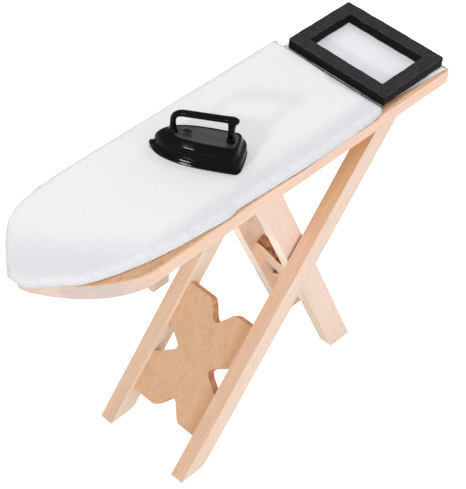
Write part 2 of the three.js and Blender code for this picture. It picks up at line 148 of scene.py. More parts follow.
class Graph:
    """A node tree, with a call for each kind of node that is used."""

    def __init__(self, tree: bpy.types.NodeTree) -> None:
        """Keeps a node tree and empties it."""
        self.tree = tree
        self.tree.nodes.clear()

    def add(self, kind: str, **settings: object) -> bpy.types.Node:
        """Adds a node.

        Args:
            kind: Type name of the node.
            **settings: Properties of the node.

        Returns:
            The new node.
        """
        node = self.tree.nodes.new(kind)
        for key, value in settings.items():
            setattr(node, key, value)
        return node

    def join(self, source: Source, target: bpy.types.NodeSocket) -> None:
        """Links a socket to another, or writes a plain value on it.

        Args:
            source: A socket, a number or a colour.
            target: The socket that takes it.
        """
        if isinstance(source, bpy.types.NodeSocket):
            self.tree.links.new(source, target)
        else:
            target.default_value = source

    def math(self, operation: str, first: Source, second: Source = 0.0, clamp: bool = False) -> Source:
        """A sum on one or two numbers.

        Args:
            operation: Name of the operation.
            first: First number.
            second: Second number, unused where the operation takes one.
            clamp: Whether the result stays between 0 and 1.

        Returns:
            The result's socket.
        """
        node = self.add("ShaderNodeMath", operation=operation, use_clamp=clamp)
        self.join(first, node.inputs[0])
        self.join(second, node.inputs[1])
        return node.outputs[0]

    def times(self, first: Source, second: Source) -> Source:
        """The product of two numbers."""
        return self.math("MULTIPLY", first, second)

    def plus(self, first: Source, second: Source) -> Source:
        """The sum of two numbers."""
        return self.math("ADD", first, second)

    def minus(self, first: Source, second: Source) -> Source:
        """The difference of two numbers."""
        return self.math("SUBTRACT", first, second)

    def size(self, value: Source) -> Source:
        """A number without its sign."""
        return self.math("ABSOLUTE", value)

    def along(self, vector: Source, direction: Point) -> Source:
        """The length of a vector along a direction.

        Args:
            vector: The vector.
            direction: A unit vector.

        Returns:
            The length's socket.
        """
        node = self.add("ShaderNodeVectorMath", operation="DOT_PRODUCT")
        self.join(vector, node.inputs[0])
        self.join(direction, node.inputs[1])
        return node.outputs["Value"]

    def ramp(self, value: Source, start: float, end: float, low: float = 0.0, high: float = 1.0) -> Source:
        """A smooth change of a number.

        Args:
            value: The number.
            start: Where the change starts.
            end: Where it ends.
            low: The result up to the start.
            high: The result from the end on.

        Returns:
            The result's socket.
        """
        node = self.add("ShaderNodeMapRange", interpolation_type="SMOOTHSTEP")
        for source, target in zip((value, start, end, low, high), node.inputs):
            self.join(source, target)
        return node.outputs[0]

    def seen_directly(self) -> Source:
        """1 for camera, glossy and transmission rays, 0 for the rest.

        Returns:
            The number's socket.
        """
        path = self.add("ShaderNodeLightPath").outputs
        either = self.math("MAXIMUM", path["Is Camera Ray"], path["Is Glossy Ray"])
        return self.math("MAXIMUM", either, path["Is Transmission Ray"])


class Surface(Graph):
    """The nodes of one material, with its shader and the piece's own coordinates."""

    def __init__(self, name: str) -> None:
        """Starts a material with a principled shader.

        Args:
            name: Name of the material.
        """
        self.material = bpy.data.materials.new(name)
        self.material.use_nodes = True
        super().__init__(self.material.node_tree)
        self.shader = self.add("ShaderNodeBsdfPrincipled")
        output = self.add("ShaderNodeOutputMaterial")
        self.join(self.shader.outputs["BSDF"], output.inputs["Surface"])
        coordinates = self.add("ShaderNodeTexCoord")
        self.place = coordinates.outputs["Object"]
        self.normal = coordinates.outputs["Normal"]

    def set(self, **values: Source) -> None:
        """Gives the shader's inputs, named in lower case with underscores."""
        for key, value in values.items():
            self.join(value, self.shader.inputs[key.replace("_", " ").title().replace("Ior", "IOR")])

    def stretched(self, axes: Sequence[Point], rates: Sequence[float], shift: float = 0.0) -> Source:
        """The piece's own place, measured along three axes and multiplied by a rate along each.

        Args:
            axes: Three unit vectors.
            rates: Features per metre along each axis.
            shift: Moves the pattern, so that two pieces differ.

        Returns:
            The vector's socket.
        """
        node = self.add("ShaderNodeCombineXYZ")
        for count, (axis, rate) in enumerate(zip(axes, rates)):
            part = self.times(self.along(self.place, axis), rate)
            self.join(self.plus(part, shift * (count + 1)), node.inputs[count])
        return node.outputs[0]

    def noise(self, vector: Source, detail: float, roughness: float = 0.55, scale: float = 1.0) -> Source:
        """Cloudy noise between 0 and 1.

        Args:
            vector: Where it is read.
            detail: Number of finer layers.
            roughness: Strength of the finer layers.
            scale: Features for each unit of the vector.

        Returns:
            The noise's socket.
        """
        node = self.add("ShaderNodeTexNoise")
        self.join(vector, node.inputs["Vector"])
        self.join(scale, node.inputs["Scale"])
        self.join(detail, node.inputs["Detail"])
        self.join(roughness, node.inputs["Roughness"])
        return node.outputs[0]

    def mix(self, share: Source, first: Source, second: Source) -> Source:
        """A colour between two colours.

        Args:
            share: 0 for the first, 1 for the second.
            first: First colour.
            second: Second colour.

        Returns:
            The colour's socket.
        """
        node = self.add("ShaderNodeMix", data_type="RGBA")
        for source, index in ((share, 0), (first, 6), (second, 7)):
            self.join(source, node.inputs[index])
        return node.outputs[2]

    def bump(self, height: Source, depth: float) -> Source:
        """A normal tilted by a height map.

        Args:
            height: Height between 0 and 1.
            depth: Depth in metres that a height of 1 stands for.

        Returns:
            The normal's socket.
        """
        node = self.add("ShaderNodeBump")
        self.join(1.0, node.inputs["Strength"])
        self.join(depth, node.inputs["Distance"])
        self.join(height, node.inputs["Height"])
        return node.outputs[0]


# Finishes


@dataclass(frozen=True)
class Finish:
    """What the finishes share.

    A rate is a number of features per metre, and a span says where a change starts and ends.
    """

    name: str

    def paint(self, graph: Surface) -> None:
        """Gives the inputs of a material's shader."""
        raise NotImplementedError

    def make(self) -> bpy.types.Material:
        """Builds the material.

        Returns:
            The material.
        """
        graph = Surface(self.name)
        self.paint(graph)
        return graph.material


@dataclass(frozen=True)
class WoodFinish(Finish):
    """Bare sanded wood, with one tone on its side faces and another on its sawn edges; part of the difference
    is painted light and shade.

    The grain runs in the XZ plane at a slope in degrees from +X, or across the board where it is crosswise.
    A darkening is a colour with the places along the grain between which it sets in; it is painted shade on
    the board's nose and on the top of the near outer leg. A painted joint shade is a colour with such places
    across the board, the shade on a panel by its near leg. Panels also have a scorched cut edge, darker still
    on the inner panel as painted shade, on every surface that doesn't look along the panel's own normal. A
    pair of rates is along and across the grain.
    """

    face: Colour
    edge: Colour
    top: Colour | None = None
    slope: float = 0.0
    shift: float = 0.0
    crosswise: bool = False
    flecks: float = 0.2
    contrast: float = 0.6
    # a darker colour between two places along the grain: painted shade on the board's nose and the near outer
    # leg's top
    darkening: ColourSpan | None = None
    painted_shade_on_sides: bool = False
    cut_edge_colours: tuple[Colour, Colour] | None = None
    painted_joint_shade: ColourSpan | None = None

    streak_rates: Span = (150.0, 2600.0)
    cloud_rates: Span = (35.0, 330.0)
    fleck_rates: Span = (900.0, 5200.0)
    fibre_rates: Span = (700.0, 5200.0)
    speckle_rate: float = 3000.0
    scorch_rate: float = 650.0
    sideways_span: Span = (0.45, 0.8)
    upward_span: Span = (0.35, 0.75)
    end_span: Span = (0.75, 0.95)
    heel_half: Span = (-0.01, 0.01)
    grain_span: Span = (0.62, 0.36)
    dark_face: float = 0.87
    dark_edge: float = 0.8
    dark_painted_shade: float = 0.82
    dark_top: float = 0.72
    torn_top: float = 0.6
    dark_fleck: float = 0.6
    end_tones: Span = (0.78, 0.97)
    worn_tone: float = 1.04
    joint_shade_share: float = 0.7
    pore_depth: float = 0.03 * MM
    roughness: Span = (0.52, 0.7)
    specular: float = 0.3

    def axes(self) -> tuple[Point, Point, Point]:
        """The grain's direction and the two directions across it.

        Returns:
            Three unit vectors.
        """
        angle = math.radians(self.slope)
        lengthwise = (math.cos(angle), 0.0, math.sin(angle))
        upright = (-math.sin(angle), 0.0, math.cos(angle))
        return (ACROSS, lengthwise, upright) if self.crosswise else (lengthwise, ACROSS, upright)

    def grain(self, graph: Surface, rates: Span, detail: float) -> Source:
        """Noise drawn out along the grain.

        Args:
            graph: The material's nodes.
            rates: Features per metre along and across the grain.
            detail: Number of finer layers.

        Returns:
            The noise's socket.
        """
        return graph.noise(graph.stretched(self.axes(), (rates[0], rates[1], rates[1]), self.shift), detail)

    def tones(self, graph: Surface, sideways: Source) -> tuple[Source, Source]:
        """The light and the dark tone of the grain on each kind of surface.

        Args:
            graph: The material's nodes.
            sideways: How far the surface looks to a side, from 0 to 1.

        Returns:
            The light and the dark tone.
        """
        side = graph.ramp(sideways, *self.sideways_span)
        upward = graph.along(graph.normal, UP)
        tone = graph.mix(side, self.edge, self.face)
        dark = graph.mix(side, browned(self.edge, self.dark_edge), browned(self.face, self.dark_face))
        # painted shade: the darkening colour sets in between two places along the grain
        if self.darkening:
            colour, start, end = self.darkening
            reached = graph.ramp(graph.along(graph.place, self.axes()[0]), start, end)
            if self.painted_shade_on_sides:
                where = graph.ramp(graph.size(upward), *self.upward_span, 1.0, 0.0)
            else:
                where = graph.minus(1.0, side)
            painted_shade_share = graph.times(reached, where)
            tone = graph.mix(painted_shade_share, tone, colour)
            dark = graph.mix(painted_shade_share, dark, browned(colour, self.dark_painted_shade))
        if self.top:
            fibres = graph.ramp(self.grain(graph, self.fibre_rates, 2.0), 0.52, 0.68)
            torn = graph.mix(fibres, self.top, browned(self.top, self.torn_top))
            up = graph.ramp(upward, *self.upward_span)
            tone = graph.mix(up, tone, torn)
            dark = graph.mix(up, dark, browned(self.top, self.dark_top))
        return tone, dark

    def end_grain(self, graph: Surface, colour: Source) -> Source:
        """Darker, speckled wood where the grain is cut across.

        Args:
            graph: The material's nodes.
            colour: The colour elsewhere.

        Returns:
            The colour with its end grain.
        """
        axes = self.axes()
        end = graph.ramp(graph.size(graph.along(graph.normal, axes[0])), *self.end_span)
        if self.painted_shade_on_sides:
            end = graph.times(end, graph.ramp(graph.along(graph.place, axes[0]), *self.heel_half))
        speckle = graph.ramp(self.grain(graph, (self.speckle_rate, self.speckle_rate), 2.0), 0.4, 0.62)
        low, high = self.end_tones
        return graph.mix(end, colour, graph.mix(speckle, browned(self.edge, low), shaded(self.edge, high)))

    def paint(self, graph: Surface) -> None:
        """Draws the grain, its flecks and what has happened to the wood.

        Args:
            graph: The material's nodes.
        """
        streaks = self.grain(graph, self.streak_rates, 4.0)
        clouds = self.grain(graph, self.cloud_rates, 2.0)
        flecks = graph.ramp(self.grain(graph, self.fleck_rates, 1.0), 0.58, 0.72)
        sideways = graph.size(graph.along(graph.normal, ACROSS))
        tone, dark = self.tones(graph, sideways)
        mixed = graph.plus(graph.times(streaks, 0.6), graph.times(clouds, 0.4))
        colour = graph.mix(graph.times(graph.ramp(mixed, *self.grain_span), self.contrast), tone, dark)
        colour = graph.mix(graph.times(flecks, self.flecks), colour, browned(self.edge, self.dark_fleck))
        colour = self.end_grain(graph, colour)
        arris = graph.ramp(graph.times(sideways, graph.minus(1.0, sideways)), 0.15, 0.24)
        worn = graph.times(arris, graph.ramp(clouds, 0.4, 0.6, 0.05, 0.3))
        colour = graph.mix(worn, colour, shaded(self.face, self.worn_tone))
        # painted shade: the panel darkens across the board towards the near leg
        if self.painted_joint_shade:
            brown, start, end = self.painted_joint_shade
            across = graph.plus(graph.along(graph.place, ACROSS), graph.times(clouds, MM))
            colour = graph.mix(graph.ramp(across, start, end, 0.0, self.joint_shade_share), colour, brown)
        # the cut edge: scorched, and on the inner panel also painted shade
        if self.cut_edge_colours:
            cut = graph.ramp(graph.size(graph.along(graph.normal, self.axes()[2])), 0.35, 0.8, 1.0, 0.0)
            patches = graph.ramp(graph.noise(graph.place, 3.0, 0.6, self.scorch_rate), 0.35, 0.65)
            colour = graph.mix(cut, colour, graph.mix(patches, *self.cut_edge_colours))
        smooth, rough = self.roughness
        relief = graph.minus(streaks, graph.times(flecks, 0.5))
        graph.set(base_color=colour, roughness=graph.ramp(streaks, 0.3, 0.7, rough, smooth))
        graph.set(normal=graph.bump(relief, self.pore_depth), specular_ior_level=self.specular)


@dataclass(frozen=True)
class WovenFinish(Finish):
    """Plain-woven cotton: round threads along X and Y that pass over and under each other.

    The weave is crisp along the near edge and over the nose, and faint elsewhere.
    """

    thread: Colour
    gap: Colour
    pitch: float = 0.42 * MM
    depth: float = 0.032 * MM
    slub: float = 0.3
    slub_rates: Span = (260.0, 3100.0)
    slub_share: float = 0.35
    wander: float = 0.5
    wander_rate: float = 300.0
    fuzz_rate: float = 9000.0
    weave_elsewhere: float = 0.12
    # share of the thread's colour on faces turned away from upright: painted shade on the cloth's rim
    rim: float = 0.72
    crisp_edge: Span = (-8.5 * MM, -13.0 * MM)
    crisp_nose: Span = (25.0 * MM, 35.0 * MM)
    nose_way: Point = (-0.75, -0.66, 0.0)
    roughness: Span = (0.82, 0.97)
    specular: float = 0.15
    sheen: Span = (0.08, 0.6)

    def threads(self, graph: Surface) -> tuple[Source, Source]:
        """The threads' height and the share of the gaps' colour: the holes, and painted shade where the
        threads dip.

        Args:
            graph: The material's nodes.

        Returns:
            The height and the share.
        """
        wander = graph.noise(graph.place, 2.0, 0.5, self.wander_rate)
        offset = graph.times(graph.minus(wander, 0.5), self.wander)
        waves = []
        for axis in (ALONG, ACROSS):
            turns = graph.times(graph.along(graph.place, axis), math.pi / self.pitch)
            waves.append(graph.math("SINE", graph.plus(turns, offset)))
        warp, weft = (graph.size(wave) for wave in waves)
        over = graph.ramp(graph.times(*waves), -0.2, 0.2)
        height = graph.plus(graph.times(over, warp), graph.times(graph.minus(1.0, over), weft))
        hole = graph.ramp(graph.math("MAXIMUM", warp, weft), 0.35, 0.85, 1.0, 0.0)
        # painted shade where the threads dip low
        shadow = graph.ramp(height, 0.25, 0.95, 0.55, 0.0)
        return height, graph.math("ADD", shadow, graph.times(hole, 0.6), clamp=True)

    def slubs(self, graph: Surface) -> Source:
        """Uneven spots along single threads.

        Args:
            graph: The material's nodes.

        Returns:
            Their strength.
        """
        slow, quick = self.slub_rates
        lengthwise = graph.noise(graph.stretched((ALONG, ACROSS, UP), (slow, quick, 300.0)), 2.0)
        crosswise = graph.noise(graph.stretched((ALONG, ACROSS, UP), (quick, slow, 300.0)), 2.0)
        return graph.ramp(graph.plus(lengthwise, crosswise), 0.8, 1.2, self.slub, 0.0)

    def paint(self, graph: Surface) -> None:
        """Draws the weave.

        Args:
            graph: The material's nodes.
        """
        height, share = self.threads(graph)
        near = graph.ramp(graph.along(graph.place, ACROSS), *self.crisp_edge, self.weave_elsewhere, 1.0)
        front = graph.ramp(graph.along(graph.place, self.nose_way), *self.crisp_nose, self.weave_elsewhere, 1.0)
        crisp = graph.math("MAXIMUM", near, front)
        colour = graph.mix(graph.times(share, crisp), self.thread, self.gap)
        slubs = graph.times(graph.times(self.slubs(graph), crisp), self.slub_share)
        colour = graph.mix(slubs, colour, self.gap)
        # painted shade: faces that turn away from upright are darkened, on the rim and the shoulder
        upright = graph.ramp(graph.along(graph.normal, UP), 0.5, 1.0, 1.0, 0.0)
        colour = graph.mix(upright, colour, shaded(self.thread, self.rim))
        fuzz = graph.noise(graph.place, 2.0, 0.6, self.fuzz_rate)
        relief = graph.plus(height, graph.times(fuzz, 0.35))
        graph.set(base_color=colour, roughness=graph.ramp(fuzz, 0.3, 0.7, *self.roughness))
        graph.set(normal=graph.bump(relief, self.depth), specular_ior_level=self.specular)
        graph.set(sheen_weight=self.sheen[0], sheen_roughness=self.sheen[1])


@dataclass(frozen=True)
class PaintFinish(Finish):
    """Matt black paint over a porous body, with fine pits and rubbed edges; its walls are darker than its top
    as painted shade.
    """

    coat: Colour
    # the walls' colour, darker than the coat: painted shade
    wall: Colour
    rubbed: Colour
    cloud_rate: float = 240.0
    grit_rate: float = 2600.0
    pit_rate: float = 4200.0
    pit_share: float = 0.8
    pit_depth: float = 0.12 * MM
    roughness: Span = (0.6, 0.85)
    specular: float = 0.12

    def paint(self, graph: Surface) -> None:
        """Draws the paint.

        Args:
            graph: The material's nodes.
        """
        clouds = graph.noise(graph.place, 4.0, 0.6, self.cloud_rate)
        grit = graph.noise(graph.place, 3.0, 0.65, self.grit_rate)
        pits = graph.ramp(graph.noise(graph.place, 1.0, 0.5, self.pit_rate), 0.58, 0.7, 0.0, self.pit_share)
        upward = graph.along(graph.normal, UP)
        colour = graph.mix(graph.ramp(clouds, 0.35, 0.7), shaded(self.coat, 0.85), shaded(self.coat, 1.35))
        colour = graph.mix(graph.ramp(grit, 0.5, 0.68, 0.0, 0.75), colour, self.rubbed)
        # painted shade: faces that don't look upwards take the darker wall colour
        colour = graph.mix(graph.ramp(upward, 0.25, 0.8, 1.0, 0.0), colour, self.wall)
        arris = graph.ramp(graph.times(upward, graph.minus(1.0, upward)), 0.12, 0.24)
        colour = graph.mix(graph.times(arris, graph.ramp(grit, 0.4, 0.6, 0.2, 0.75)), colour, self.rubbed)
        colour = graph.mix(pits, colour, shaded(self.coat, 0.3))
        graph.set(base_color=colour, roughness=graph.ramp(grit, 0.3, 0.7, *self.roughness))
        relief = graph.minus(grit, pits)
        graph.set(normal=graph.bump(relief, self.pit_depth), specular_ior_level=self.specular)


@dataclass(frozen=True)
class EnamelFinish(Finish):
    """Baked black enamel, glossy on the sides and satin where its surface is rougher."""

    coat: Colour
    roughness: Span = (0.07, 0.12)
    peel_depth: float = 0.004 * MM
    specular: float = 0.085
    dust: float = 0.0
    dust_tone: Colour = tint(120, 120, 126)
    peel_rate: float = 900.0
    smear_rate: float = 260.0
    speck_rate: float = 5200.0

    def paint(self, graph: Surface) -> None:
        """Draws the enamel.

        Args:
            graph: The material's nodes.
        """
        peel = graph.noise(graph.place, 2.0, 0.5, self.peel_rate)
        smears = graph.noise(graph.place, 4.0, 0.6, self.smear_rate)
        specks = graph.ramp(graph.noise(graph.place, 1.0, 0.5, self.speck_rate), 0.66, 0.76)
        colour = graph.mix(graph.ramp(smears, 0.35, 0.7), self.coat, shaded(self.coat, 1.5))
        colour = graph.mix(graph.times(specks, self.dust), colour, self.dust_tone)
        graph.set(base_color=colour, roughness=graph.ramp(smears, 0.3, 0.7, *self.roughness))
        graph.set(normal=graph.bump(peel, self.peel_depth), specular_ior_level=self.specular)


@dataclass(frozen=True)
class AdhesiveAndShadowFinish(Finish):
    """Dried brown adhesive with painted shadow, uneven along its line."""

    thin: Colour
    thick: Colour
    run_rate: float = 700.0
    lump_rate: float = 6000.0
    lump_depth: float = 0.03 * MM
    roughness: Span = (0.4, 0.65)
    specular: float = 0.3

    def paint(self, graph: Surface) -> None:
        """Draws the glue.

        Args:
            graph: The material's nodes.
        """
        runs = graph.ramp(graph.noise(graph.place, 3.0, 0.6, self.run_rate), 0.4, 0.62)
        lumps = graph.noise(graph.place, 2.0, 0.6, self.lump_rate)
        graph.set(base_color=graph.mix(runs, self.thin, self.thick))
        graph.set(roughness=graph.ramp(lumps, 0.3, 0.7, *self.roughness))
        graph.set(normal=graph.bump(lumps, self.lump_depth), specular_ior_level=self.specular)


@dataclass(frozen=True)
class SteelFinish(Finish):
    """Drawn steel wire, dulled a little."""

    metal: Colour
    tarnish: Colour
    draw_rates: Span = (300.0, 9000.0)
    draw_depth: float = 0.01 * MM
    stain_rate: float = 1800.0
    roughness: Span = (0.3, 0.5)

    def paint(self, graph: Surface) -> None:
        """Draws the steel.

        Args:
            graph: The material's nodes.
        """
        slow, quick = self.draw_rates
        drawn = graph.noise(graph.stretched((ACROSS, ALONG, UP), (slow, quick, quick)), 2.0)
        darkening = graph.ramp(graph.noise(graph.place, 3.0, 0.6, self.stain_rate), 0.45, 0.65)
        graph.set(base_color=graph.mix(darkening, self.metal, self.tarnish), metallic=1.0)
        graph.set(roughness=graph.ramp(drawn, 0.3, 0.7, *self.roughness))
        graph.set(normal=graph.bump(drawn, self.draw_depth))


# Meshes


def piece(name: str, skin: Skin, smooth: bool = True) -> bpy.types.Object:
    """Makes a mesh object with its faces turned outwards.

    Args:
        name: Name of the piece.
        skin: Its points in metres and its faces.
        smooth: Whether its faces shade smoothly.

    Returns:
        The object, in the scene.
    """
    points, faces = skin
    mesh = bpy.data.meshes.new(name)
    mesh.from_pydata([tuple(map(float, row)) for row in points], [], faces)
    shape = bmesh.new()
    shape.from_mesh(mesh)
    bmesh.ops.remove_doubles(shape, verts=shape.verts, dist=SAME_PLACE)
    bmesh.ops.recalc_face_normals(shape, faces=shape.faces)
    shape.to_mesh(mesh)
    shape.free()
    if smooth:
        mesh.shade_smooth()
    made = bpy.data.objects.new(name, mesh)
    bpy.context.scene.collection.objects.link(made)
    return made


def settle(target: bpy.types.Object) -> None:
    """Applies a piece's modifiers to its mesh.

    Args:
        target: The piece.
    """
    graph = bpy.context.evaluated_depsgraph_get()
    mesh = bpy.data.meshes.new_from_object(target.evaluated_get(graph))
    target.modifiers.clear()
    target.data = mesh
    mesh.shade_smooth()


def points_of(target: bpy.types.Object) -> np.ndarray:
    """The points of an object's mesh.

    Args:
        target: The object.

    Returns:
        One row for each point.
    """
    values = np.zeros(len(target.data.vertices) * 3)
    target.data.vertices.foreach_get("co", values)
    return values.reshape(-1, 3)


def move_points(target: bpy.types.Object, points: np.ndarray) -> None:
    """Writes new places for an object's points."""
    target.data.vertices.foreach_set("co", points.astype(np.float32).ravel())
    target.data.update()


def at_height(flat: np.ndarray, height: np.ndarray | float) -> np.ndarray:
    """Flat points at one height, or each at its own."""
    return np.column_stack((flat, np.zeros(len(flat)) + height))


def circle(count: int) -> tuple[np.ndarray, np.ndarray]:
    """Equal turns round a circle.

    Args:
        count: Number of turns.

    Returns:
        Their cosines and their sines.
    """
    turns = np.linspace(0, 2 * math.pi, count, endpoint=False)
    return np.cos(turns), np.sin(turns)


def loft(rings: Sequence[np.ndarray], closed: bool = False) -> Skin:
    """A skin through closed rings of equal counts.

    Args:
        rings: Rings of points, in order.
        closed: Whether the last ring meets the first. Otherwise both ends are capped.

    Returns:
        Points and faces.
    """
    count = len(rings[0])
    faces = []
    for level in range(len(rings) if closed else len(rings) - 1):
        low, high = level * count, (level + 1) % len(rings) * count
        for here in range(count):
            there = (here + 1) % count
            faces.append([low + here, low + there, high + there, high + here])
    if not closed:
        faces.append(list(range(count))[::-1])
        faces.append([(len(rings) - 1) * count + here for here in range(count)])
    return np.vstack(rings), faces


def joined(skins: Sequence[Skin]) -> Skin:
    """Several skins as one.

    Args:
        skins: Points and faces of each.

    Returns:
        Points and faces of them all.
    """
    points, faces, count = [], [], 0
    for more_points, more_faces in skins:
        points.append(more_points)
        faces += [[index + count for index in face] for face in more_faces]
        count += len(more_points)
    return np.vstack(points), faces


def inward(outline: np.ndarray) -> np.ndarray:
    """The ways into a counter-clockwise outline.

    Args:
        outline: Its points.

    Returns:
        A unit vector for each point.
    """
    along = np.roll(outline, -1, axis=0) - np.roll(outline, 1, axis=0)
    along /= np.linalg.norm(along, axis=1)[:, None]
    return np.column_stack((-along[:, 1], along[:, 0]))


def curve(*controls: Sequence[float], steps: int) -> list[Spot]:
    """Points on a curve with two to four control points, without the last one.

    Args:
        *controls: Control points in the plane.
        steps: Number of points.

    Returns:
        The points.
    """
    given = np.array(controls, float)
    degree = len(given) - 1
    made = []
    for step in range(steps):
        share = step / steps
        weights = [math.comb(degree, k) * share**k * (1 - share) ** (degree - k) for k in range(degree + 1)]
        made.append(tuple(np.array(weights) @ given))
    return made


def through(places: Sequence[Sequence[float]], steps: int) -> np.ndarray:
    """Points on a smooth line through given places, each stretch cut into the same number of steps.

    Args:
        places: Rows of numbers, of any width.
        steps: Number of points for each stretch.

    Returns:
        The points, the last place included.
    """
    given = np.array(places, float)
    padded = np.vstack((2 * given[0] - given[1], given, 2 * given[-1] - given[-2]))
    made = []
    for index in range(len(given) - 1):
        before, start, end, after = padded[index : index + 4]
        for share in np.arange(steps) / steps:
            slope = (end - before) * share
            bend = (2 * before - 5 * start + 4 * end - after) * share**2
            twist = (3 * start - before - 3 * end + after) * share**3
            made.append(start + 0.5 * (slope + bend + twist))
    return np.array(made + [given[-1]])


def evened(line: np.ndarray, count: int) -> np.ndarray:
    """The same line with its points at equal distances.

    Args:
        line: Rows of numbers.
        count: Number of points.

    Returns:
        The points.
    """
    along = np.concatenate(([0.0], np.cumsum(np.linalg.norm(np.diff(line, axis=0), axis=1))))
    stations = np.linspace(0.0, along[-1], count)
    return np.column_stack([np.interp(stations, along, line[:, axis]) for axis in range(line.shape[1])])


def reach(point: np.ndarray, centre: np.ndarray, outline: np.ndarray) -> float:
    """How far out a point is from the centre of an outline.

    Args:
        point: The point.
        centre: The outline's centre.
        outline: Points of the outline.

    Returns:
        The distance as a share of the outline's distance in the same direction.
    """
    arm = point - centre
    angles = np.arctan2(*(outline - centre).T[::-1])
    lengths = np.linalg.norm(outline - centre, axis=1)
    order = np.argsort(angles)
    radius = np.interp(math.atan2(arm[1], arm[0]), angles[order], lengths[order], period=2 * math.pi)
    return float(np.linalg.norm(arm) / radius)


def slab(outline: np.ndarray, heights: Span, lower_round: float, upper_round: np.ndarray) -> Skin:
    """A plank cut to an outline, with rounded lower and upper edges.

    Args:
        outline: Counter-clockwise outline in metres.
        heights: Heights of its underside and its top.
        lower_round: Radius of its lower edge.
        upper_round: Radius of its upper edge at each point of the outline.

    Returns:
        Points and faces.
    """
    steps = 5
    flat_share = 1.6
    bottom, top = heights
    sweep = [math.pi / 2 * step / steps for step in range(steps + 1)]
    levels = [(lower_round * flat_share, bottom)]
    for angle in sweep:
        levels.append((lower_round * (1 - math.sin(angle)), bottom + lower_round * (1 - math.cos(angle))))
    for angle in sweep:
        levels.append((upper_round * (1 - math.cos(angle)), top - upper_round * (1 - math.sin(angle))))
    levels.append((upper_round * flat_share, top))
    normals = inward(outline)
    insets = [np.zeros(len(outline)) + inset for inset, _ in levels]
    flats = [outline + normals * inset[:, None] for inset in insets]
    return loft([at_height(flat, height) for flat, (_, height) in zip(flats, levels)])


def tube(path: Sequence[Point], radii: Sequence[float], sides: int = 20) -> Skin:
    """A round bar along a path, its radius given at each point, with domed ends.

    Args:
        path: Points on its centre line, in a plane of X and Z or along any gentle line.
        radii: Radius at each point.
        sides: Number of points round it.

    Returns:
        Points and faces.
    """
    line = np.array(path, float)
    along = np.gradient(line, axis=0)
    along /= np.linalg.norm(along, axis=1)[:, None]
    side = np.array(ACROSS)
    cosines, sines = circle(sides)
    dome = [(0.35, 0.94), (0.7, 0.71), (0.94, 0.34)]
    first, last = radii[0], radii[-1]
    places = [(line[0] - along[0] * first * out, along[0], first * width) for out, width in dome[::-1]]
    places += zip(line, along, radii)
    places += [(line[-1] + along[-1] * last * out, along[-1], last * width) for out, width in dome]
    rings = []
    for centre, direction, radius in places:
        across = np.cross(direction, side)
        rings.append(centre + radius * (cosines[:, None] * side + sines[:, None] * across))
    return loft(rings)


def merged(name: str, skin: Skin, voxel: float, smoothing: int) -> bpy.types.Object:
    """Closed skins fused into one cast body, with soft fillets where they meet.

    Args:
        name: Name of the piece.
        skin: Points and faces of all the skins.
        voxel: Size of the grid they are fused on.
        smoothing: Passes of smoothing afterwards.

    Returns:
        The fused piece.
    """
    made = piece(name, skin)
    fuse = made.modifiers.new("fuse", "REMESH")
    fuse.mode = "VOXEL"
    fuse.voxel_size = voxel
    fuse.adaptivity = 0.0
    soften = made.modifiers.new("soften", "SMOOTH")
    soften.factor = 0.5
    soften.iterations = smoothing
    settle(made)
    return made


def dress(target: bpy.types.Object, material: bpy.types.Material) -> bpy.types.Object:
    """Gives an object one material in all its slots.

    Args:
        target: The object.
        material: The material.

    Returns:
        The object.
    """
    if target.data.materials:
        for slot in target.material_slots:
            slot.link = "OBJECT"
            slot.material = material
    else:
        target.data.materials.append(material)
    return target


def stand_in(target: bpy.types.Object, body: str, slot: Slot, *nodes: str) -> bpy.types.Object:
    """Lets a piece ride on a body and hides the nodes that it stands for.

    Args:
        target: The piece.
        body: Name of the body.
        slot: The material slot, not used.
        *nodes: Names of the nodes.

    Returns:
        The piece.
    """
    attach(target, body)
    if nodes:
        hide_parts(*nodes)
    LOG.info("made %s on %s", target.name, body)
    return target


def smooth_shading() -> bpy.types.NodeTree:
    """The node group that shades the faces of a kept node smoothly, made once.

    Returns:
        The node group.
    """
    name = "smooth_faces"
    if name in bpy.data.node_groups:
        return bpy.data.node_groups[name]
    graph = Graph(bpy.data.node_groups.new(name, "GeometryNodeTree"))
    for way in ("INPUT", "OUTPUT"):
        graph.tree.interface.new_socket("Geometry", in_out=way, socket_type="NodeSocketGeometry")
    kinds = ("NodeGroupInput", "GeometryNodeSetShadeSmooth", "NodeGroupOutput")
    start, shade, end = (graph.add(kind) for kind in kinds)
    graph.join(start.outputs[0], shade.inputs[0])
    graph.join(shade.outputs[0], end.inputs[0])
    return graph.tree


def keep(node: str, finish: bpy.types.Material, arris: float) -> None:
    """Keeps a node of the frame, with softened edges and a finish.

    Args:
        node: Name of the node.
        finish: Its material.
        arris: Width of its softened edges in metres.
    """
    target = frame["nodes"][node]
    target.modifiers.new("weld", "WELD").merge_threshold = 2 * SAME_PLACE
    soften = target.modifiers.new("arris", "BEVEL")
    soften.width = arris
    soften.segments = 3
    soften.limit_method = "ANGLE"
    soften.angle_limit = math.radians(35)
    soften.use_clamp_overlap = True
    target.modifiers.new("smooth", "NODES").node_group = smooth_shading()
    target.modifiers.new("shading", "WEIGHTED_NORMAL").keep_sharp = True
    dress(target, finish)
    LOG.info("kept %s", node)


# The wooden board


